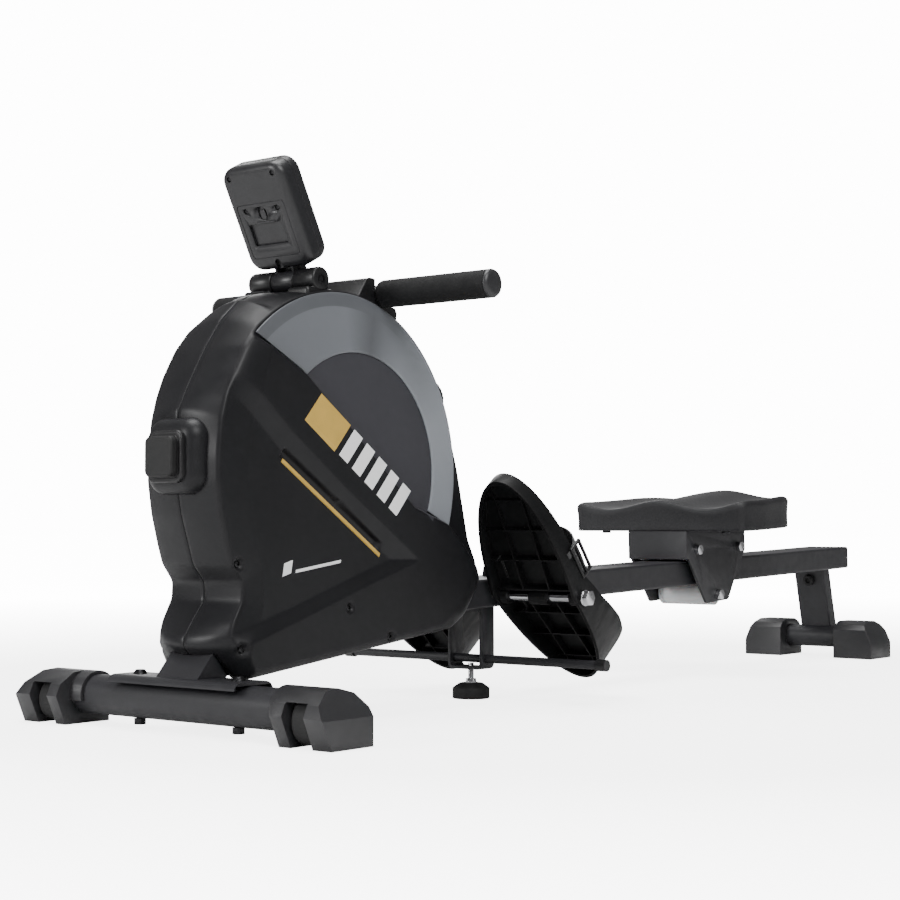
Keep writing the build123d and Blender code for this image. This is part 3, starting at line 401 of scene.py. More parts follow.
def rubber(name, tint):
    """Rubber: dull, dusty in patches, with a pebbled skin."""
    n = Nodes(name)
    dust = n.spread(n.noise(55, 6), 0, 1, 0.45, 0.8)
    n.bump(n.cells(900), 0.2, 0.0004)
    return n.put(Base_Color=n.mix(dust, shade(tint, 1.0), shade(tint, 2.3)),
                 Roughness=n.spread(dust, 0.62, 0.82, 0, 1), Specular_IOR_Level=0.35)


def foam(name, tint):
    """Closed-cell foam: matt, with open pores that are painted darker, painted shade in the pores."""
    n = Nodes(name)
    pores = n.cells(750)
    n.bump(pores, 0.25, 0.0004)
    # colour painted darker in the pores, where the bump is lowest: painted shade
    return n.put(Base_Color=n.mix(n.spread(pores, 0, 1, 0.1, 0.6), shade(tint, 0.6), shade(tint, 1.5)),
                 Roughness=n.spread(n.noise(90, 3), 0.68, 0.82), Specular_IOR_Level=0.3)


def seat_leather(name, tint):
    """Moulded polyurethane seat skin: leather grain in two sizes, its gloss varying with the grain."""
    n = Nodes(name)
    coarse, fine = n.cells(330), n.cells(980)
    grain = n.math("ADD", coarse, n.math("MULTIPLY", fine, 0.5))
    n.bump(grain, 0.22, 0.0006)
    cloud = n.spread(n.noise(14, 5), 0, 1)
    return n.put(Base_Color=n.mix(cloud, shade(tint, 0.85), shade(tint, 1.15)),
                 Roughness=n.spread(grain, 0.46, 0.60, 0.1, 0.8), Specular_IOR_Level=0.32)


def webbing(name, tint, along=(1, 0, 0), pitch=0.0022):
    """Woven strap: ribs across its length crossed by finer warp threads, painted darker in the weave's
    hollows and lighter on its ridges: painted shade and painted highlight.
    """
    n = Nodes(name)
    turns = 2 * math.pi / pitch
    rib = n.math("SINE", n.vector("DOT_PRODUCT", n.where, [turns * c for c in along]), 0.0)
    thread = n.math("SINE", n.vector("DOT_PRODUCT", n.where, (0, turns * 1.7, 0)), 0.0)
    weave = n.math("MULTIPLY", rib, thread)
    n.bump(weave, 0.6, 0.0005)
    # colour follows the weave's height: painted shade in the hollows, painted highlight on the ridges
    return n.put(Base_Color=n.mix(n.spread(weave, 0, 1, -1, 1), shade(tint, 0.55), shade(tint, 1.6)),
                 Roughness=n.spread(n.noise(200, 3), 0.7, 0.9), Sheen_Weight=0.3)


def inlay_plastic(name, tint):
    """Inlay: a darker band along its outer rim that fades out towards the rear, and grey painted lighter and
    darker round the plain disc, a painted highlight arc and a painted dark streak.
    """
    n = Nodes(name)
    offset, _ = n.about(FACE)
    parts = n.add("ShaderNodeSeparateXYZ", {"Vector": offset})
    angle = n.math("ARCTAN2", parts.outputs["Z"], parts.outputs["X"])
    # levels round the disc: a painted highlight arc and a painted dark streak
    ramp = n.add("ShaderNodeValToRGB", {"Fac": n.spread(angle, 0, 1, -1.2, 2.8)})
    stops = ((0.0, 0.42), (0.22, 1.35), (0.40, 1.50), (0.56, 1.15), (0.655, 0.50), (0.72, 0.88), (0.86, 0.80),
             (1.0, 0.74))
    while len(ramp.color_ramp.elements) < len(stops):
        ramp.color_ramp.elements.new(0.5)
    for element, (position, level) in zip(ramp.color_ramp.elements, stops, strict=True):
        element.position = position
        element.color = shade(tint, level)
    _, radius = n.about(CROWN)
    band = n.spread(radius, 0, 1, 0.2085, 0.2095)
    left = n.spread(parts.outputs["X"], 1, 0, -0.01, 0.10)
    rim = n.math("MULTIPLY", band, left)
    n.bump(n.noise(1500, 2), 0.08, 0.0004)
    return n.put(Base_Color=n.mix(rim, ramp.outputs["Color"], shade(tint, 0.55)),
                 Roughness=n.spread(n.noise(38, 4), 0.36, 0.46))


def glass(name, tint):
    """Display glass over a dark grey liquid-crystal field."""
    n = Nodes(name)
    return n.put(Base_Color=n.mix(n.spread(n.noise(20, 3), 0, 1), shade(tint, 0.8), shade(tint, 1.2)),
                 Roughness=n.spread(n.noise(60, 3), 0.06, 0.14), Coat_Weight=1.0, Coat_Roughness=0.03)


def plywood(name):
    """Birch board: long grain bands, pale and brown."""
    n = Nodes(name)
    grain = n.noise(70, 5, (1.0, 12.0, 12.0))
    n.bump(grain, 0.2, 0.0004)
    return n.put(Base_Color=n.mix(n.spread(grain, 0, 1), (0.30, 0.19, 0.10, 1), (0.52, 0.37, 0.22, 1)),
                 Roughness=n.spread(grain, 0.6, 0.75))


def nylon(name, tint):
    """White nylon: soft gloss, a little light passing under the skin."""
    n = Nodes(name)
    n.bump(n.noise(160, 3), 0.06, 0.0004)
    return n.put(Base_Color=n.mix(n.spread(n.noise(24, 4), 0, 1), shade(tint, 0.86), shade(tint, 1.05)),
                 Roughness=n.spread(n.noise(50, 3), 0.32, 0.44), Subsurface_Weight=0.1)


def floor_paint(tint):
    """Matt white studio floor that glows for the camera alone, so that it meets the white room."""
    n = Nodes("floor")
    cloud = n.spread(n.noise(3, 3), 0, 1)
    seen = n.add("ShaderNodeLightPath").outputs["Is Camera Ray"]
    reach = n.vector("LENGTH", n.where)
    return n.put(Base_Color=n.mix(cloud, shade(tint, 0.99), shade(tint, 1.01)), Roughness=0.8,
                 Specular_IOR_Level=0.1, Emission_Color=(1, 1, 1, 1),
                 Emission_Strength=n.math("MULTIPLY", seen, n.spread(reach, 4.0, 14.0, 1.0, 3.6)))


FINISHES = {}


def finish(slot):
    """The material of one finish, made the first time it is asked for."""
    if slot in FINISHES:
        return FINISHES[slot]
    c = bpy.context.scene.rower_colours
    rail_run = (math.cos(RAIL_TILT), 0, math.sin(RAIL_TILT))
    makers = {
        "casing": lambda: casing_plastic("casing", c.casing),
        "crescent": lambda: inlay_plastic("crescent", c.inlay),
        "gold": lambda: metal("gold", c.gold, 0.46, scale=700, wear=0.1, metallic=0.25),
        "mark": lambda: moulded("mark", c.mark, 0.5, mottle=0.03),
        "powder": lambda: powder_coat("powder", c.powder),
        "black_plastic": lambda: moulded("black_plastic", c.plastic, 0.38, grain=0.14, specular=0.4),
        "pedal_plastic": lambda: moulded("pedal_plastic", tuple(0.6 * v for v in c.plastic), 0.5,
                                         specular=0.2),
        "console_plastic": lambda: moulded("console_plastic", c.console, 0.38, grain=0.2, specular=0.45),
        "cap_plastic": lambda: moulded("cap_plastic", tuple(2.6 * v for v in c.plastic), 0.42, grain=0.16),
        "chrome": lambda: metal("chrome", (0.72, 0.72, 0.74), 0.16, scale=260),
        "steel": lambda: metal("steel", (0.46, 0.46, 0.47), 0.3, (6.0, 1.0, 1.0)),
        "black_screw": lambda: metal("black_screw", (0.04, 0.04, 0.042), 0.34, scale=400),
        "cast_iron": lambda: metal("cast_iron", (0.16, 0.155, 0.15), 0.55, scale=90, wear=0.35),
        "rubber": lambda: rubber("rubber", c.rubber),
        "roller_nylon": lambda: nylon("roller_nylon", c.nylon),
        "foam": lambda: foam("foam", c.foam),
        "webbing": lambda: webbing("webbing", (0.010, 0.010, 0.011)),
        "seat_skin": lambda: seat_leather("seat_skin", c.seat),
        "board": lambda: plywood("board"),
        "screen": lambda: glass("screen", (0.10, 0.12, 0.11)),
        "rail_webbing": lambda: webbing("foot_webbing", (0.008, 0.008, 0.009), rail_run),
    }
    FINISHES[slot] = makers[slot]()
    return FINISHES[slot]


def dress(name, solids, slot, body, replaced=(), smooth_faces=True):
    """One piece from closed grids in millimetres, with its finish, body and the frame nodes it replaces."""
    grids = [(place(solid), True, None) for solid in solids]
    piece = add_surface(name, grids, finish(slot), body, smooth_faces)
    if replaced:
        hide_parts(*replaced)
    return piece


def coat_nodes():
    """Gives every frame node the finish that its record names."""
    for entry in frame["record"]["subparts"]:
        piece = frame["nodes"][entry["node"]]
        piece.data.materials.clear()
        piece.data.materials.append(finish(entry["material_slot"]))


# ---------------------------------------------------------------- casing
CREASE = ((34, 63), (10.8, 103.5), (9, 115), (13, 130), (28, 157), (29, 178), (12, 200), (4, 224), (-6, 260),
          (-12, 298), (-12.2, 325), (-7.4, 372), (0.3, 400), (9.7, 423), (31.7, 461), (53.6, 486),
          (78, 503.5))
SEAM = ((34, 63), (-9.3, 102), (-7.7, 113), (2, 128), (24.6, 156.5), (24.5, 178), (6, 199), (-2, 223),
        (-13.8, 258.5), (-19.7, 288), (-20.5, 325), (-19.7, 383), (-10, 402), (-0.5, 420), (22, 458),
        (52, 499), (83, 526))
REAR = ((441.7, 321.6), (466, 226), (482, 198), (489, 170.5), (475, 150), (455, 124), (426, 107))
BAND_TOP = ((-60, 533), (38, 483), (131, 437), (223, 367), (339, 275.5), (411, 253), (444, 225), (540, 145))
PANEL_TOP = ((-60, 460), (-5, 413), (82, 341), (185, 270), (294, 201), (340, 171))
PANEL_LOW = ((-60, 97), (10, 117), (113, 147), (243, 187), (292, 201), (340, 216))
STRIPE = np.array(((89.0, 325.0), (271.0, 207.5)))
SCREW_HOLES = ((21, 201), (22, 100), (206, 143), (286, 103))
CASE_MIDDLE = np.array((215.0, 300.0))
WALL = 3.0
BAND_CHAMFER, LOW_CHAMFER = 26, 15
SLOT_DEPTH, SLOT_HALF, SLOT_ABOVE_STRIPE = 6.5, 7.5, 8.0
POCKET_R, POCKET_DEPTH = 7.0, 4.5
CRESCENT_GAP = 1.8
STRIPE_HALF = 2.9


def casing_loops(count=560):
    """Outlines of the casing at its crease and at its seam: matching points, evenly spaced along the crease.

    The front is a run of straight facets, the top an arc about the crown's centre, and corners are softened
    by a Gaussian average along the loop.
    """
    turn = np.radians(np.linspace(122, 28.3, 48))
    bulge = 4 + 9 * smooth((np.degrees(turn) - 102) / 15)
    ring = np.stack([np.cos(turn), np.sin(turn)], axis=1)
    crease = np.concatenate([CREASE, CROWN + CROWN_R * ring, REAR])
    seam = np.concatenate([SEAM, CROWN + (CROWN_R + bulge)[:, None] * ring, np.array(REAR) + (3, 0)])
    closed = np.concatenate([crease, crease[:1]])
    reach = np.concatenate([[0], np.cumsum(np.linalg.norm(np.diff(closed, axis=0), axis=1))])
    at = np.linspace(0, reach[-1], count, endpoint=False)
    loops = []
    offsets = np.arange(-12, 13)
    weight = np.exp(-0.5 * (offsets * reach[-1] / count / 3.2) ** 2)
    weight /= weight.sum()
    for loop in (crease, seam):
        loop = np.concatenate([loop, loop[:1]])
        dense = np.stack([np.interp(at, reach, loop[:, k]) for k in (0, 1)], axis=1)
        loops.append(sum(w * np.roll(dense, -o, axis=0) for w, o in zip(weight, offsets)))
    return loops


def ramp(value):
    """Straight rise from 0 to 1 with its two corners slightly rounded."""
    t = np.clip(value, 0, 1)
    return 0.75 * t + 0.25 * smooth(t)


def casing_height(points, outline):
    """Half width of the casing's side at (x, z).

    The plain disc lies at the crown's half width.  Below the diagonal band's upper edge the side is raised by
    the cheek.  A three-sided panel between the band's chamfer and the lower band's chamfer lies lower, and
    everything falls away to the crease over a width that is greatest at the front.  A slot lies above the
    stripe, and the screws have round pockets.
    """
    sizes = bpy.context.scene.rower_sizes
    cheek = CHEEK_FACE - CASE_HALF
    above_band, side_band = distance_to_line(points, BAND_TOP)
    above_panel, side_panel = distance_to_line(points, PANEL_TOP)
    below_panel, side_low = distance_to_line(points, PANEL_LOW)
    upper = ramp(np.where(side_panel > 0, above_panel, 0) / BAND_CHAMFER)
    lower = ramp(np.where(side_low < 0, below_panel, 0) / LOW_CHAMFER)
    rise = cheek - sizes.panel_depth * 1000 * (1 - np.maximum(upper, lower))
    rise = rise * smooth(np.where(side_band < 0, above_band, 0) / (sizes.rim_radius * 1000))
    x, z = points[..., 0], points[..., 1]
    width = 10 + 34 * smooth((95 - x) / 60) * smooth((z - 85) / 60) + 18 * smooth((x - 385) / 50)
    inside, _ = distance_to_line(points, outline[::4], closed=True)
    fall = np.clip(inside / width, 0, 1)
    rise = rise * (0.35 * fall + 0.65 * np.sqrt(1 - (1 - fall) ** 2))
    run = STRIPE[1] - STRIPE[0]
    span = np.linalg.norm(run)
    along = (points - STRIPE[0]) @ run / span
    off = (points - STRIPE[0]) @ np.array((-run[1], run[0])) / span
    slot = smooth((SLOT_HALF - np.abs(off - SLOT_ABOVE_STRIPE)) / 2.5)
    slot = slot * smooth((along + 6) / 4) * smooth((span - 2 - along) / 12)
    rise = rise - SLOT_DEPTH * slot
    for hole in SCREW_HOLES:
        rise = rise - POCKET_DEPTH * smooth((POCKET_R - np.linalg.norm(points - hole, axis=-1)) / 2.5)
    return CASE_HALF + rise


def inward(loop):
    """Unit vectors square to a closed loop that point to its inside."""
    run = np.roll(loop, -1, axis=0) - np.roll(loop, 1, axis=0)
    normal = np.stack([run[:, 1], -run[:, 0]], axis=1)
    return normal / np.linalg.norm(normal, axis=1)[:, None]


def open_quads(points):
    """Mask of the rim's quads outside the openings for the post, the rail and the strap."""
    middle = (points[:-1, :] + points[1:, :]) / 2
    middle = (middle + np.roll(middle, -1, axis=1)) / 2
    x, y, z = np.moveaxis(middle, -1, 0)
    y = np.abs(y)
    post = (z < 93) & (x > -31) & (x < 51) & (y < 38)
    rail = (x > 380) & (y < 43) & (z > 112) & (z < 170.5)
    strap = (np.abs(x - 296) < 6.5) & (z > 400) & (y < 17)
    return ~(post | rail | strap)


def casing_cover(name, sign, replaced):
    """One cover: height field over rays from its middle, a crowned rim to the seam, and an inner wall."""
    crease, seam = casing_loops()
    rows = np.linspace(1, 0, bpy.context.scene.rower_sizes.side_rings)[:, None, None]
    flat = CASE_MIDDLE + rows * (crease - CASE_MIDDLE)
    side = np.stack([flat[..., 0], -casing_height(flat, crease), flat[..., 1]], axis=-1)
    side[0, :, 1] = -CASE_HALF
    levels = np.array((0.25, 1.4, 6, 12, 17, 27, 38, 43, 50, 56, 60.0))
    share = ((levels / CASE_HALF) ** 2)[:, None, None]
    profile = seam + share * (crease - seam)
    profile[0] += 0.7 * inward(seam)
    rim = np.stack([profile[..., 0], -levels[:, None] + 0 * profile[..., 0], profile[..., 1]], axis=-1)
    inner = rim.copy()
    thin = WALL * inward(crease)
    inner[..., 0] += thin[:, 0]
    inner[..., 2] += thin[:, 1]
    inner[-1, :, 1] = -(CASE_HALF - WALL)
    keep = open_quads(rim)
    hollow = crease + thin
    floor = CASE_MIDDLE + np.linspace(1, 0, 10)[:, None, None] * (hollow - CASE_MIDDLE)
    floor = np.stack([floor[..., 0], np.full(floor.shape[:2], -(CASE_HALF - WALL)), floor[..., 1]], axis=-1)
    grids = [(side, True, None), (rim, True, keep), (inner, True, keep), (floor, True, None)]
    grids += [(wall, False, None) for wall in edge_walls(rim, inner, keep)]
    grids = [(place(grid * (1, -sign, 1)), wrap, mask) for grid, wrap, mask in grids]
    cover = add_surface(name, grids, finish("casing"), "frame")
    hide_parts(replaced)


def edge_walls(outer, inner, keep):
    """Strips that join two like grids along the seam and along each edge between kept and open quads."""
    columns = keep.shape[1]
    ring = np.arange(columns + 1) % columns
    walls = [np.stack([outer[0, ring], inner[0, ring]])]
    beside = np.roll(keep, 1, axis=1)
    for row, column in np.argwhere(keep != beside):
        walls.append(np.stack([outer[row:row + 2, column], inner[row:row + 2, column]]))
    for row, column in np.argwhere(keep[1:] != keep[:-1]):
        pair = [column, (column + 1) % columns]
        walls.append(np.stack([outer[row + 1, pair], inner[row + 1, pair]]))
    return walls


def crescent_plate(name, sign, replaced):
    """Inlay between the plain disc and the crown, cut off along the diagonal band.

    On each ray from the disc's centre it reaches from the disc, or from the band's edge where that is further
    out, to a circle inside the crown; its section is a closed loop with rounded upper corners.
    """
    edge = np.array(BAND_TOP, float)
    fine, coarse = np.linspace(0, 1, 900), np.linspace(0, 1, len(edge))
    dense = np.stack([np.interp(fine, coarse, edge[:, k]) for k in (0, 1)], axis=1)
    polar = dense - FACE
    angle, radius = np.arctan2(polar[:, 1], polar[:, 0]), np.linalg.norm(polar, axis=1) + 2.5
    order = np.argsort(angle)
    turn = np.linspace(-0.9, 2.9, 1500)
    band = np.interp(turn, angle[order], radius[order])
    to_crown = FACE - CROWN
    ray = np.stack([np.cos(turn), np.sin(turn)], axis=1)
    dot = ray @ to_crown
    outer = -dot + np.sqrt(dot**2 - to_crown @ to_crown + (CROWN_R - CRESCENT_GAP) ** 2)
    inner = np.maximum(band, FACE_R)
    good = inner < outer
    turn, ray, inner, outer = (v[good] for v in (turn, ray, inner, outer))
    pick = np.linspace(0, len(turn) - 1, 220).astype(int)
    ray, inner, outer = ray[pick], inner[pick], outer[pick]
    across = np.concatenate([[0, 0, 0.012], np.linspace(0.04, 0.96, 14), [0.988, 1, 1]])
    lift = np.concatenate([[-1.5, 1.5, 2.1], np.full(14, 2.4), [2.1, 1.5, -1.5]])
    reach = inner[:, None] + across * (outer - inner)[:, None]
    flat = FACE + reach[..., None] * ray[:, None]
    grid = np.stack([flat[..., 0], sign * (CASE_HALF + lift + 0 * reach), flat[..., 1]], axis=-1)
    plate = add_surface(name, [(place(grid), True, None)], finish("crescent"), "frame")
    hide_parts(replaced)


def decal(corners, y, depth=0.6):
    """Thin plate over a four-sided patch: corners as (x, z), its face depth outside y."""
    a, b, c, d = (np.array(p, float) for p in corners)
    u = np.array((0, 0, 0.01, 0.5, 0.99, 1, 1))
    v = np.linspace(0, 1, 9)[:, None, None]
    w = u[None, :, None]
    flat = (1 - v) * ((1 - w) * a + w * b) + v * ((1 - w) * d + w * c)
    lift = np.array((0, 0.7, 1, 1, 1, 0.7, 0))[None, :] * np.array((0, 1, 1, 1, 1, 1, 1, 1, 0))[:, None]
    return np.stack([flat[..., 0], y + np.sign(y) * lift * depth, flat[..., 1]], axis=-1)


MARK_START = np.array((151.0, 409.5))
MARK_RUN, MARK_DOWN = np.array((0.826, -0.564)), np.array((-0.665, -0.747))
SMALL_MARKS = (((91, 184), (106, 188), (109, 204), (94, 200)),
               ((114, 188), (196, 199), (197, 203), (115, 192)))


def band_patch(start, length_along, height):
    """Corners of a leaning patch on the diagonal band, start along it from the first mark's upper corner."""
    origin = MARK_START + MARK_RUN * start
    foot = MARK_DOWN * height
    return origin, origin + MARK_RUN * length_along, origin + MARK_RUN * length_along + foot, origin + foot


def screw_head(centre, axis, radius, drive=0.5):
    """Pan head with a round drive recess."""
    profile = ((-2, 0), (-2, radius), (0, radius), (radius * 0.28, radius * 0.86),
               (radius * 0.38, radius * drive), (radius * 0.05, radius * drive * 0.9), (0, 0))
    return lathe(centre, axis, profile, 24)


class ROWER_OT_casing(bpy.types.Operator):
    """Two covers with the crescent inlays, the gold stripes, the marks and the screws"""

    bl_idname = "rower.casing"
    bl_label = "Casing"

    def execute(self, context):
        for hand, sign in (("left", -1), ("right", 1)):
            casing_cover(f"casing_{hand}", sign, f"cover_{hand}")
            crescent_plate(f"crescent_{hand}", sign, f"crescent_trim_{hand}")
        stripes, marks, screws, patches = [], [], [], []
        for sign in (-1, 1):
            run = STRIPE[1] - STRIPE[0]
            panel = CHEEK_FACE - context.scene.rower_sizes.panel_depth * 1000
            across = np.array((-run[1], run[0])) / np.linalg.norm(run) * STRIPE_HALF
            corners = (STRIPE[0] + across, STRIPE[1] + across, STRIPE[1] - across, STRIPE[0] - across)
            stripes.append((place(decal(corners, sign * (panel - 0.5), 1.9)), False, None))
            face = sign * CHEEK_FACE
            patches.append((place(decal(band_patch(0, 66, 46), face)), False, None))
            for index in range(5):
                marks.append((place(decal(band_patch(75 + 29 * index, 19, 44), face)), False, None))
            for corners in SMALL_MARKS:
                marks.append((place(decal(corners, sign * (panel + 0.05), 0.4)), False, None))
            for hole in SCREW_HOLES:
                height = casing_height(np.array([[hole]], float), casing_loops()[0])[0, 0]
                centre = (hole[0], sign * height, hole[1])
                screws.append((place(screw_head(centre, (0, sign, 0), 4.6)), True, None))
        for name, grids, slot, body in (("gold_stripes", stripes, "gold", "accent_strips"),
                                        ("gold_patches", patches, "gold", None),
                                        ("white_marks", marks, "mark", None),
                                        ("casing_screws", screws, "black_screw", "cover_screws")):
            piece = add_surface(name, grids, finish(slot), "frame", smooth_faces=False)
            if body:
                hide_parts(body)
        return {"FINISHED"}


# ---------------------------------------------------------------- softened copies of frame nodes
def soften(name, nodes, slot, body, width, segments=3, angle=32):
    """Copies of frame nodes, merged and made of whole faces, with rounded edges."""
    work = bmesh.new()
    for node in nodes:
        work.from_mesh(frame["nodes"][node].data)
    bmesh.ops.remove_doubles(work, verts=work.verts, dist=2e-6)
    bmesh.ops.dissolve_limit(work, angle_limit=math.radians(0.6), verts=work.verts, edges=work.edges)
    bmesh.ops.recalc_face_normals(work, faces=work.faces)
    mesh = bpy.data.meshes.new(name)
    work.to_mesh(mesh)
    work.free()
    piece = bpy.data.objects.new(name, mesh)
    bpy.context.scene.collection.objects.link(piece)
    mesh.materials.clear()
    mesh.materials.append(finish(slot))
    crisp(piece, width, segments, angle)
    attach(piece, body)
    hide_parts(*nodes)
    return piece


def crisp(piece, width, segments, angle):
    """Smooth faces with narrow rounded edges."""
    piece.data.polygons.foreach_set("use_smooth", [True] * len(piece.data.polygons))
    modifier(piece, "BEVEL", width=width, segments=segments, limit_method="ANGLE",
             angle_limit=math.radians(angle), harden_normals=True)


def cut(piece, grid):
    """Takes the volume of a closed grid in millimetres out of a piece for good."""
    cutter = add_surface("cutter", [(place(grid), True, None)], finish("black_plastic"), "frame")
    tool = modifier(piece, "BOOLEAN", operation="DIFFERENCE", solver="EXACT", object=cutter)
    with bpy.context.temp_override(object=piece, active_object=piece):
        bpy.ops.object.modifier_apply(modifier=tool.name)
    bpy.data.objects.remove(cutter)


# name of the piece, its frame node, finish, body and edge width
SOFTENED = (("rest_wedge", "handle_holder", "black_plastic", "frame", 0.0015),
            ("carriage_plate", "seat_carriage", "powder", "seat", 0.0009),
            ("carriage_bolts", "roller_bolts", "chrome", "seat", 0.0009),
            ("pedal_nuts", "pedal_axle_bolts", "chrome", "frame", 0.0009),
            ("saddle_screws", "saddle_bolts", "black_screw", "frame", 0.0008),
            ("seat_bolts", "seat_screws", "black_screw", "seat", 0.0009),
            ("foot_bracket", "center_bracket", "powder", "frame", 0.0008),
            ("foot_stud", "leveling_stud", "chrome", "leveling_foot", 0.0006),
            ("foot_pad", "leveling_foot", "rubber", "leveling_foot", 0.0014),
            ("rail_plug", "rail_end_cap", "black_plastic", "frame", 0.0008),
            ("stops", "seat_stops", "rubber", "frame", 0.0012))


class ROWER_OT_structure(bpy.types.Operator):
    """Caps, carriage, bolts, brackets, feet, rubber stops and the handle's rest with rounded edges, from the
    frame's own shapes
    """

    bl_idname = "rower.structure"
    bl_label = "Structure"

    def execute(self, context):
        for hand in ("left", "right"):
            for end in ("front", "rear"):
                soften(f"{end}_foot_cap_{hand}", [f"{end}_cap_{hand}"], "cap_plastic", "frame", 0.0030)
        for name, node, slot, body, width in SOFTENED:
            soften(name, [node], slot, body, width)
        return {"FINISHED"}


# ---------------------------------------------------------------- bumper
class ROWER_OT_bumper(bpy.types.Operator):
    """Square buffer on a rim and a domed boss at the casing's front"""

    bl_idname = "rower.bumper"
    bl_label = "Bumper"

    def execute(self, context):
        low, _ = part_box("storage_bumper")
        front = low.x * 1000 - FRONT_X
        ahead = (-1, 0, 0)
        boss = slab((8, 0, 328), ahead, 45, 46, 44, 24, 1, 21, steps=12)
        collar = slab((front + 19, 0, 327), ahead, 29.5, 31, 8.6, 11, 0.6, 2.4)
        neck = slab((front + 11.5, 0, 327), ahead, 24.5, 25, 2, 8.5, 0.3, 0.4)
        pad = slab((front + 9.6, 0, 327), ahead, 23.5, 24, 9.6, 8, 1.2, 3.2, steps=9)
        dress("bumper_boss", [boss], "casing", "frame", ("storage_bumper",))
        dress("bumper_collar", [collar, neck], "black_plastic", "frame", ("storage_bumper",))
        dress("bumper_pad", [pad], "rubber", "frame", ("storage_bumper",))
        return {"FINISHED"}


# ---------------------------------------------------------------- handle, strap and tension knob
KNOB_TURN = math.radians(25)
FLUTES = 28
STRAP_MOUTH = np.array((295.5, 0, 505))  # where the strap leaves the casing


class ROWER_OT_handle(bpy.types.Operator):
    """Foam grips with domed caps, the woven pull strap and its loop round the bar"""

    bl_idname = "rower.handle"
    bl_label = "Handle"

    def execute(self, context):
        grip_r = size_of("handle_grips")[2] / 2
        end = size_of("handle_end_caps")[1] / 2
        grips, caps = [], []
        for sign in (-1, 1):
            way = (0, sign, 0)
            foam_end = end - 8.0
            grip = [(60, 12.6), (60, grip_r - 2.5), (61, grip_r - 0.8), (63.5, grip_r)]
            grip += [(along, grip_r) for along in np.linspace(80, foam_end - 12, 12)]
            grip += [(foam_end - 2, grip_r), (foam_end - 0.6, grip_r - 0.4), (foam_end, grip_r - 1.4),
                     (foam_end, 12.6)]
            grips.append(lathe(HANDLE, way, grip, 56))
            cap = [(foam_end + 0.2, 0), (foam_end + 0.2, grip_r - 0.9), (foam_end + 1.0, grip_r),
                   (foam_end + 2.2, grip_r), (end - 3.2, grip_r - 1.3), (end - 1.6, grip_r - 3.4)]
            cap += [(end - 0.9, grip_r - 5.5), (end - 0.35, grip_r - 9), (end, grip_r - 13), (end, 0)]
            caps.append(lathe(HANDLE, way, cap, 56))
        dress("foam_grips", grips, "foam", "handle", ("handle_grips",))
        dress("grip_caps", caps, "cap_plastic", "handle", ("handle_end_caps",))
        self.strap()
        self.knob()
        return {"FINISHED"}

    @staticmethod
    def strap():
        """Loop: a thin band round the bar.  Web: a ribbon from the casing's slot to the bar."""
        width = size_of("pull_strap")[1] / 2
        turn = np.linspace(0, 2 * math.pi, 48, endpoint=False)
        radius = np.array((12.7, 14.2, 14.4, 14.4, 14.2, 12.7, 12.7))
        across = np.array((-1, -1, -0.96, 0.96, 1, 1, -1)) * width
        loop = np.stack([HANDLE[0] + radius[:, None] * np.cos(turn), across[:, None] + 0 * turn,
                         HANDLE[2] + radius[:, None] * np.sin(turn)], axis=-1)
        dress("strap_loop", [loop], "webbing", "handle", ("pull_strap",), False)
        start, stop = STRAP_MOUTH, np.array((HANDLE[0] + 10, 0, HANDLE[2] - 8))
        run = (stop - start) / np.linalg.norm(stop - start)
        out = np.array((run[2], 0, -run[0]))
        share = np.linspace(0, 1, 90)[:, None, None]
        ring = np.array(((-1, -0.6), (-0.9, -1), (0.9, -1), (1, -0.6),
                         (1, 0.6), (0.9, 1), (-0.9, 1), (-1, 0.6)))
        section = ring[:, :1] * (0, width * 0.98, 0) + ring[:, 1:] * out * 0.9
        web = start + share * (stop - start) + section
        piece = dress("strap_web", [web], "webbing", "frame", smooth_faces=False)
        piece.parent = None
        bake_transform(piece)

    @staticmethod
    def knob():
        """Turned knob with a rippled skirt and a dished cap."""
        axis = (math.cos(KNOB_TURN), 0, math.sin(KNOB_TURN))
        foot = CROWN + (CROWN_R + 6) * np.array((axis[0], axis[2]))
        skirt = [(0, 0), (0, 29.0), (0.8, 31.2), (3, 32), (16, 31.5), (31, 30.4), (35, 29.2), (36.6, 26.4),
                 (37, 23.0), (36.0, 20.5), (35.2, 12), (35.0, 0)]
        origin = (foot[0], 0, foot[1])
        grid = lathe(origin, axis, skirt, 10 * FLUTES,
                     wave=lambda t: 1 - 0.026 * (0.5 - 0.5 * np.cos(FLUTES * t)))
        shaft = lathe(origin, axis, ((-22, 0), (-22, 6), (1, 6), (1, 0)), 24)
        dress("knob", [grid, shaft], "black_plastic", "tension_knob", ("tension_knob",))


# ---------------------------------------------------------------- console
CONSOLE_OUT = np.array((math.cos(CONSOLE_LEAN), 0, math.sin(CONSOLE_LEAN)))
CONSOLE_UP = np.array((-math.sin(CONSOLE_LEAN), 0, math.cos(CONSOLE_LEAN)))
CONSOLE_BACK = np.array((125.9, 0, 631.0))
CONSOLE_W, CONSOLE_H, CONSOLE_CORNER = 53, 69, 20  # half width, half height and corner radius
CORNER_SCREWS, PANEL_SCREWS = ((-37, 56), (37, 56)), ((-27, 12), (27, 12))


def on_console(across, up, depth):
    """Point on the console: across to the rower's right, up its face, depth in from its back."""
    return CONSOLE_BACK + np.array((0, across, 0)) + up * CONSOLE_UP + depth * CONSOLE_OUT


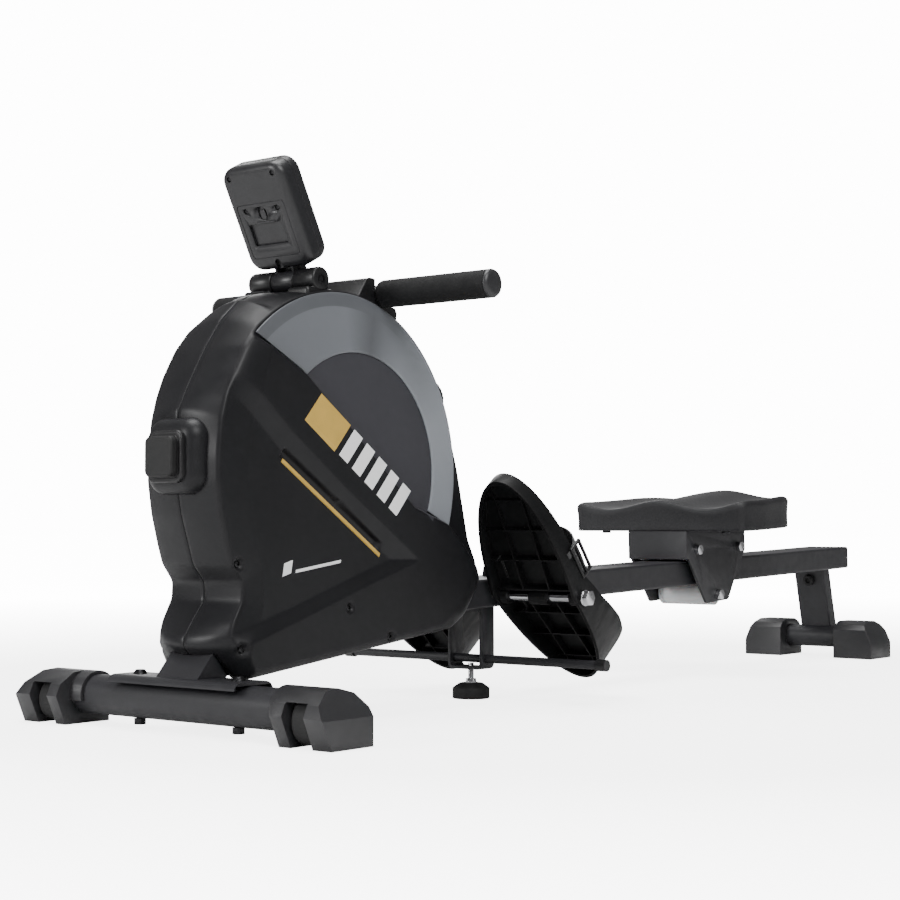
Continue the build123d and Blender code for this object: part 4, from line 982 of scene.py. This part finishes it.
class ROWER_OT_console(bpy.types.Operator):
    """Console shells with the battery panel, its latch and screws, and the hinge barrels' details"""

    bl_idname = "rower.console"
    bl_label = "Console"

    def execute(self, context):
        edge = context.scene.rower_sizes.console_edge * 1000
        back, across = -CONSOLE_OUT, (0, 1, 0)
        size = (CONSOLE_W, CONSOLE_H)

        def block(u, v, depth, half_w, half_h, thick, corner, low=0.2, high=0.2, out=back):
            return slab(on_console(u, v, depth), out, half_w, half_h, thick, corner, low, high, across)

        def bore(u, v, depth, radius):
            return lathe(on_console(u, v, depth), back, ((0, 0), (0, radius), (8, radius), (8, 0)), 24)

        shell = dress("rear_shell", [block(0, 0, 22, *size, 22, CONSOLE_CORNER, 0.6, edge + 3)],
                      "console_plastic", "console", ("console_rear_shell",))
        for recess in ((0, -15, 0.9, 40.5, 36, 8, 5), (2, -20, 3.6, 29, 15, 8, 1.5),
                       (0, 7.5, 2.6, 7.5, 9.5, 8, 7), (2, -61, 5, 5, 7, 8, 4.8)):
            cut(shell, block(*recess))
        for u, v in CORNER_SCREWS + PANEL_SCREWS:
            cut(shell, bore(u, v, 3.0, 3.6))
        crisp(shell, 0.0005, 2, 40)
        knuckle = lathe(HINGE - (0, 18.8, 0), (0, 1, 0),
                        ((0, 4.1), (0, 13), (1, 14), (36.6, 14), (37.6, 13), (37.6, 4.1)), 48)
        neck = slab(on_console(0, -75, 14), CONSOLE_OUT, 17.5, 11, 13, 3, 1, 1, across)
        ribs = [block(u, -69, 20, 1.6, 11, 16, 0.8, 0.3, 0.5) for u in (-14, 14)]
        dress("console_knuckle", [knuckle, neck, *ribs], "console_plastic", "console")

        panel = dress("battery_panel", [block(0, -15, 1.0, 39.9, 35.4, 0.9, 4.6, 0.1, 0.5)],
                      "console_plastic", "console", ("battery_cover",))
        cut(panel, block(2, -20, 3.4, 28, 14, 8, 1.5))
        cut(panel, block(0, 7.5, 2.4, 7, 9, 8, 6.8))
        for u, v in PANEL_SCREWS:
            cut(panel, bore(u, v, 3, 3.8))
        latch = [block(0, 5.5, 2.2, 4.4, 6.5, 1.8, 3.4, 0.1, 0.6),
                 block(0, -4.5, 1.2, 15, 1.1, 1.4, 0.9, 0.1, 0.3)]
        dress("panel_latch", latch, "console_plastic", "console")
        screws = [screw_head(on_console(u, v, 2.6), back, 3.1) for u, v in CORNER_SCREWS + PANEL_SCREWS]
        dress("console_screws", screws, "black_screw", "console")

        front = dress("front_shell", [block(0, 0, 22.4, *size, 15.6, CONSOLE_CORNER, 0.6, edge, CONSOLE_OUT)],
                      "console_plastic", "console", ("console_front_shell",))
        cut(front, block(0, 14, 33.5, 35, 26, 9, 3, 0.1, 0.1, CONSOLE_OUT))
        cut(front, block(0, -36, 29.8, 22.2, 7.7, 12, 5, 0.1, 0.1, CONSOLE_OUT))
        crisp(front, 0.0006, 2, 40)
        plugs, barrels = [], []
        for sign in (-1, 1):
            start = HINGE + (0, sign * 19.4, 0)
            shape = ((0, 4.1), (0, 14), (1, 15.4), (34, 15.4), (36.6, 14.8), (37.6, 12.6), (37.6, 0))
            barrels.append(lathe(start, (0, sign, 0), shape, 56))
            foot = HINGE + (0, sign * 38.2, -28)
            barrels.append(slab(foot, (0, 0, 1), 18.5, 25, 17, 5, 1, 5, (0, 1, 0)))
            barrels.append(slab(foot + (2, 0, 8), (0, 0, 1), 17.5, 13.5, 16, 3, 1, 1, (0, 1, 0)))
            rim = ((-1.0, 0), (-1.0, 6.6), (0.9, 6.6), (1.1, 6.2), (1.1, 4.4), (-0.4, 4.2), (-0.4, 0))
            plugs.append(lathe(HINGE + (0, sign * 57, 0), (0, sign, 0), rim, 6))
        dress("console_pedestal", barrels, "black_plastic", "frame", ("console_bracket",))
        dress("hinge_plugs", plugs, "black_screw", "frame", smooth_faces=False)
        return {"FINISHED"}


# ---------------------------------------------------------------- seat
SEAT_X, RAIL_LEVEL = 1155, 153.64  # the seat's place, and the rail's top above the front axis
SEAT_MIDDLE = np.array((12.0, 0.0))
SEAT_BASE, SEAT_RISE = 50.0, 102  # heights of its underside and of its front over the rail
SEAT_TUCK, SEAT_FOOT = 1.5, 3  # how far its sides lean in, and the rounding of their lower edge


def seat_outline(count=280):
    """Plan of the seat pad as a closed loop of (along, across) points: a tapered shape with round corners."""
    corners = np.array(((-102, -165), (-30, -164), (74, -144), (135, -121),
                        (135, 121), (74, 144), (-30, 164), (-102, 165)), float)
    closed = np.concatenate([corners, corners[:1]])
    reach = np.concatenate([[0], np.cumsum(np.linalg.norm(np.diff(closed, axis=0), axis=1))])
    at = np.linspace(0, reach[-1], count, endpoint=False)
    dense = np.stack([np.interp(at, reach, closed[:, k]) for k in (0, 1)], axis=1)
    offsets = np.arange(-24, 25)
    weight = np.exp(-0.5 * (offsets * reach[-1] / count / 13.0) ** 2)
    weight /= weight.sum()
    return sum(w * np.roll(dense, -o, axis=0) for w, o in zip(weight, offsets))


def seat_top(along, across, dip):
    """Height of the seat's top: two thigh hollows either side of a low crest, rising to the rear."""
    wave = dip / 2 * (1 - np.cos(math.pi * across / 93))
    rear = smooth((along + 60) / 190)
    return SEAT_RISE - wave + 12.0 * rear - 1.5 * smooth((-along - 70) / 30)


class ROWER_OT_seat(bpy.types.Operator):
    """Moulded seat pad with its thigh hollows, rolled top edge and slightly leaning sides"""

    bl_idname = "rower.seat"
    bl_label = "Seat"

    def execute(self, context):
        sizes = context.scene.rower_sizes
        edge, dip = sizes.seat_edge * 1000, sizes.seat_dip * 1000
        loop = seat_outline()
        span = np.linalg.norm(loop - SEAT_MIDDLE, axis=1)
        way = (loop - SEAT_MIDDLE) / span[:, None]
        turn = np.linspace(0, math.pi / 2, 9)
        rows = []

        def row(flat, height):
            rows.append(np.stack([flat[:, 0], flat[:, 1], np.broadcast_to(height, len(flat))], axis=1))

        for share in np.linspace(0, 1, 46)[:-1]:
            flat = SEAT_MIDDLE + share * (1 - edge / span)[:, None] * (loop - SEAT_MIDDLE)
            row(flat, seat_top(flat[:, 0], flat[:, 1], dip))
        inner = SEAT_MIDDLE + (1 - edge / span)[:, None] * (loop - SEAT_MIDDLE)
        rim_top = seat_top(inner[:, 0], inner[:, 1], dip)
        for angle in turn:
            row(inner + edge * math.sin(angle) * way, rim_top - edge * (1 - math.cos(angle)))
        for share in np.linspace(0.12, 1, 9):
            height = (rim_top - edge) * (1 - share) + (SEAT_BASE + SEAT_FOOT) * share
            row(loop - (1.0 * math.sin(math.pi * share) + SEAT_TUCK * share) * way, height)
        for angle in turn[2:]:
            row(loop - (SEAT_TUCK + SEAT_FOOT * (1 - math.cos(angle))) * way,
                SEAT_BASE + SEAT_FOOT - SEAT_FOOT * math.sin(angle))
        for share in (0.97, 0.6, 0.0):
            row(SEAT_MIDDLE + share * (loop - 10 * way - SEAT_MIDDLE), SEAT_BASE)
        along, across, up = np.moveaxis(np.stack(rows), -1, 0)
        top = RAIL_LEVEL + math.tan(RAIL_TILT) * SEAT_X
        world = np.stack([SEAT_X + along * math.cos(RAIL_TILT) - up * math.sin(RAIL_TILT), across,
                          top + along * math.sin(RAIL_TILT) + up * math.cos(RAIL_TILT)], axis=-1)
        pad = dress("seat_cushion", [world], "seat_skin", "seat", ("seat_pad", "seat_board"))
        return {"FINISHED"}


# ---------------------------------------------------------------- pedals
PEDAL_OUT = np.array((math.cos(PEDAL_LEAN), 0, math.sin(PEDAL_LEAN)))
PEDAL_UP = np.array((-math.sin(PEDAL_LEAN), 0, math.cos(PEDAL_LEAN)))
PEDAL_MIDDLE = np.array((554.0, 0, 166.5))
STRAP_HALF_SPAN, STRAP_HEIGHT = 66.6, 62.6


class ROWER_OT_pedals(bpy.types.Operator):
    """Ribbed pedals and their woven foot straps with plastic buckles"""

    bl_idname = "rower.pedals"
    bl_label = "Pedals"

    def execute(self, context):
        for hand, sign in (("left", -1), ("right", 1)):
            body = f"pedal_{hand}"
            soften(f"footplate_{hand}", [f"pedal_{hand}"], "pedal_plastic", body, 0.0010, 2, 40)
            centre = PEDAL_MIDDLE + 31.0 * PEDAL_UP + (0, sign * 122, 0)
            turn = np.linspace(math.radians(-4), math.radians(184), 96)
            ring = np.array(((-1, -0.5), (-0.96, -1), (0.96, -1), (1, -0.5),
                             (1, 0.5), (0.96, 1), (-0.96, 1), (-1, 0.5)))
            path = (np.cos(turn)[:, None] * (0, STRAP_HALF_SPAN, 0)
                    + np.sin(turn)[:, None] * PEDAL_OUT * STRAP_HEIGHT)
            out = path / np.linalg.norm(path, axis=1)[:, None]
            web = (centre + path[:, None] + ring[None, :, :1] * PEDAL_UP * 22
                   + ring[None, :, 1:] * out[:, None] * 1.1)
            dress(f"foot_strap_{hand}", [web], "rail_webbing", body, (f"pedal_strap_{hand}",), False)
            side = centre + np.array((0, sign * 67.6, 0)) + 16 * PEDAL_OUT
            bars = [slab(side + 23.5 * way * PEDAL_UP, (0, sign, 0), 13, 1.8, 4.2, 1.6, 0.5, 1.2, PEDAL_OUT)
                    for way in (-1, 1)]
            bars += [slab(side + 11 * way * PEDAL_OUT, (0, sign, 0), 1.8, 24, 4.2, 1.6, 0.5, 1.2, PEDAL_OUT)
                     for way in (-1, 0, 1)]
            dress(f"strap_buckle_{hand}", bars, "black_plastic", body)
        return {"FINISHED"}


# ---------------------------------------------------------------- stage
# name, place, side and power of each lamp
LAMPS = (("key", (-2.6, -3.2, 3.4), 2.0, 190), ("front", (-4.2, 1.4, 1.5), 1.0, 100),
         ("top", (-0.6, 0.4, 4.2), 2.4, 190), ("rear", (3.0, 3.2, 2.4), 1.6, 70))
CAMERA_AT = (-2.320, -1.587, 0.2476)
CAMERA_TURN = (math.radians(92.34), 0, math.radians(38.25 - 90))
ROOM_LIGHT, ROOM_SEEN = 0.26, 14.0


class ROWER_OT_stage(bpy.types.Operator):
    """Pale floor, white surroundings, soft lights and the camera"""

    bl_idname = "rower.stage"
    bl_label = "Stage"

    def execute(self, context):
        scene = context.scene
        x, y = np.meshgrid(np.linspace(-30, 30, 61), np.linspace(-30, 30, 61), indexing="ij")
        floor = add_surface("floor", [(np.stack([x, y, 0 * x - 0.0004], axis=-1), False, None)],
                            floor_paint(scene.rower_colours.floor), "frame")
        floor.parent = None
        scene.world = bpy.data.worlds.new("white_room")
        scene.world.use_nodes = True
        tree = scene.world.node_tree
        ground = tree.nodes["Background"]
        ground.inputs["Color"].default_value = (1, 1, 1, 1)
        # the camera sees a white room, but it lights the machine only dimly
        path = tree.nodes.new("ShaderNodeLightPath")
        level = tree.nodes.new("ShaderNodeMapRange")
        level.inputs["To Min"].default_value, level.inputs["To Max"].default_value = ROOM_LIGHT, ROOM_SEEN
        tree.links.new(path.outputs["Is Camera Ray"], level.inputs["Value"])
        tree.links.new(level.outputs["Result"], ground.inputs["Strength"])
        middle = Vector((0, 0, 0.3))
        for name, spot, side, watts in LAMPS:
            data = bpy.data.lights.new(name, "AREA")
            data.shape, data.size, data.energy = "SQUARE", side, watts
            lamp = bpy.data.objects.new(name, data)
            scene.collection.objects.link(lamp)
            lamp.location = spot
            lamp.rotation_euler = (middle - Vector(spot)).to_track_quat("-Z", "Y").to_euler()
        data = bpy.data.cameras.new("camera")
        data.lens, data.sensor_width = scene.rower_sizes.lens, 36
        camera = bpy.data.objects.new("camera", data)
        scene.collection.objects.link(camera)
        camera.location = CAMERA_AT
        camera.rotation_euler = CAMERA_TURN
        scene.camera = camera
        return {"FINISHED"}


class ROWER_PT_panel(bpy.types.Panel):
    """Sizes, colours and one button for each group of pieces"""

    bl_label = "Rowing machine"
    bl_idname = "ROWER_PT_panel"
    bl_space_type = "VIEW_3D"
    bl_region_type = "UI"
    bl_category = "Rower"

    def draw(self, context):
        for group in (context.scene.rower_sizes, context.scene.rower_colours):
            for key in group.__annotations__:
                self.layout.prop(group, key)
        for operator in OPERATORS:
            self.layout.operator(operator.bl_idname)


OPERATORS = (ROWER_OT_stage, ROWER_OT_casing, ROWER_OT_structure, ROWER_OT_bumper, ROWER_OT_handle,
             ROWER_OT_console, ROWER_OT_seat, ROWER_OT_pedals)
CLASSES = (RowerColours, RowerSizes, ROWER_PT_panel, *OPERATORS)


def register():
    for item in CLASSES:
        bpy.utils.register_class(item)
    bpy.types.Scene.rower_colours = PointerProperty(type=RowerColours)
    bpy.types.Scene.rower_sizes = PointerProperty(type=RowerSizes)


def unregister():
    del bpy.types.Scene.rower_sizes
    del bpy.types.Scene.rower_colours
    for item in reversed(CLASSES):
        bpy.utils.unregister_class(item)


def main():
    """Builds everything."""
    register()
    coat_nodes()
    for operator in OPERATORS:
        group, name = operator.bl_idname.split(".")
        if getattr(getattr(bpy.ops, group), name)() != {"FINISHED"}:
            raise RuntimeError(f"{operator.bl_label} wasn't finished")


if __name__ == "__main__":
    main()
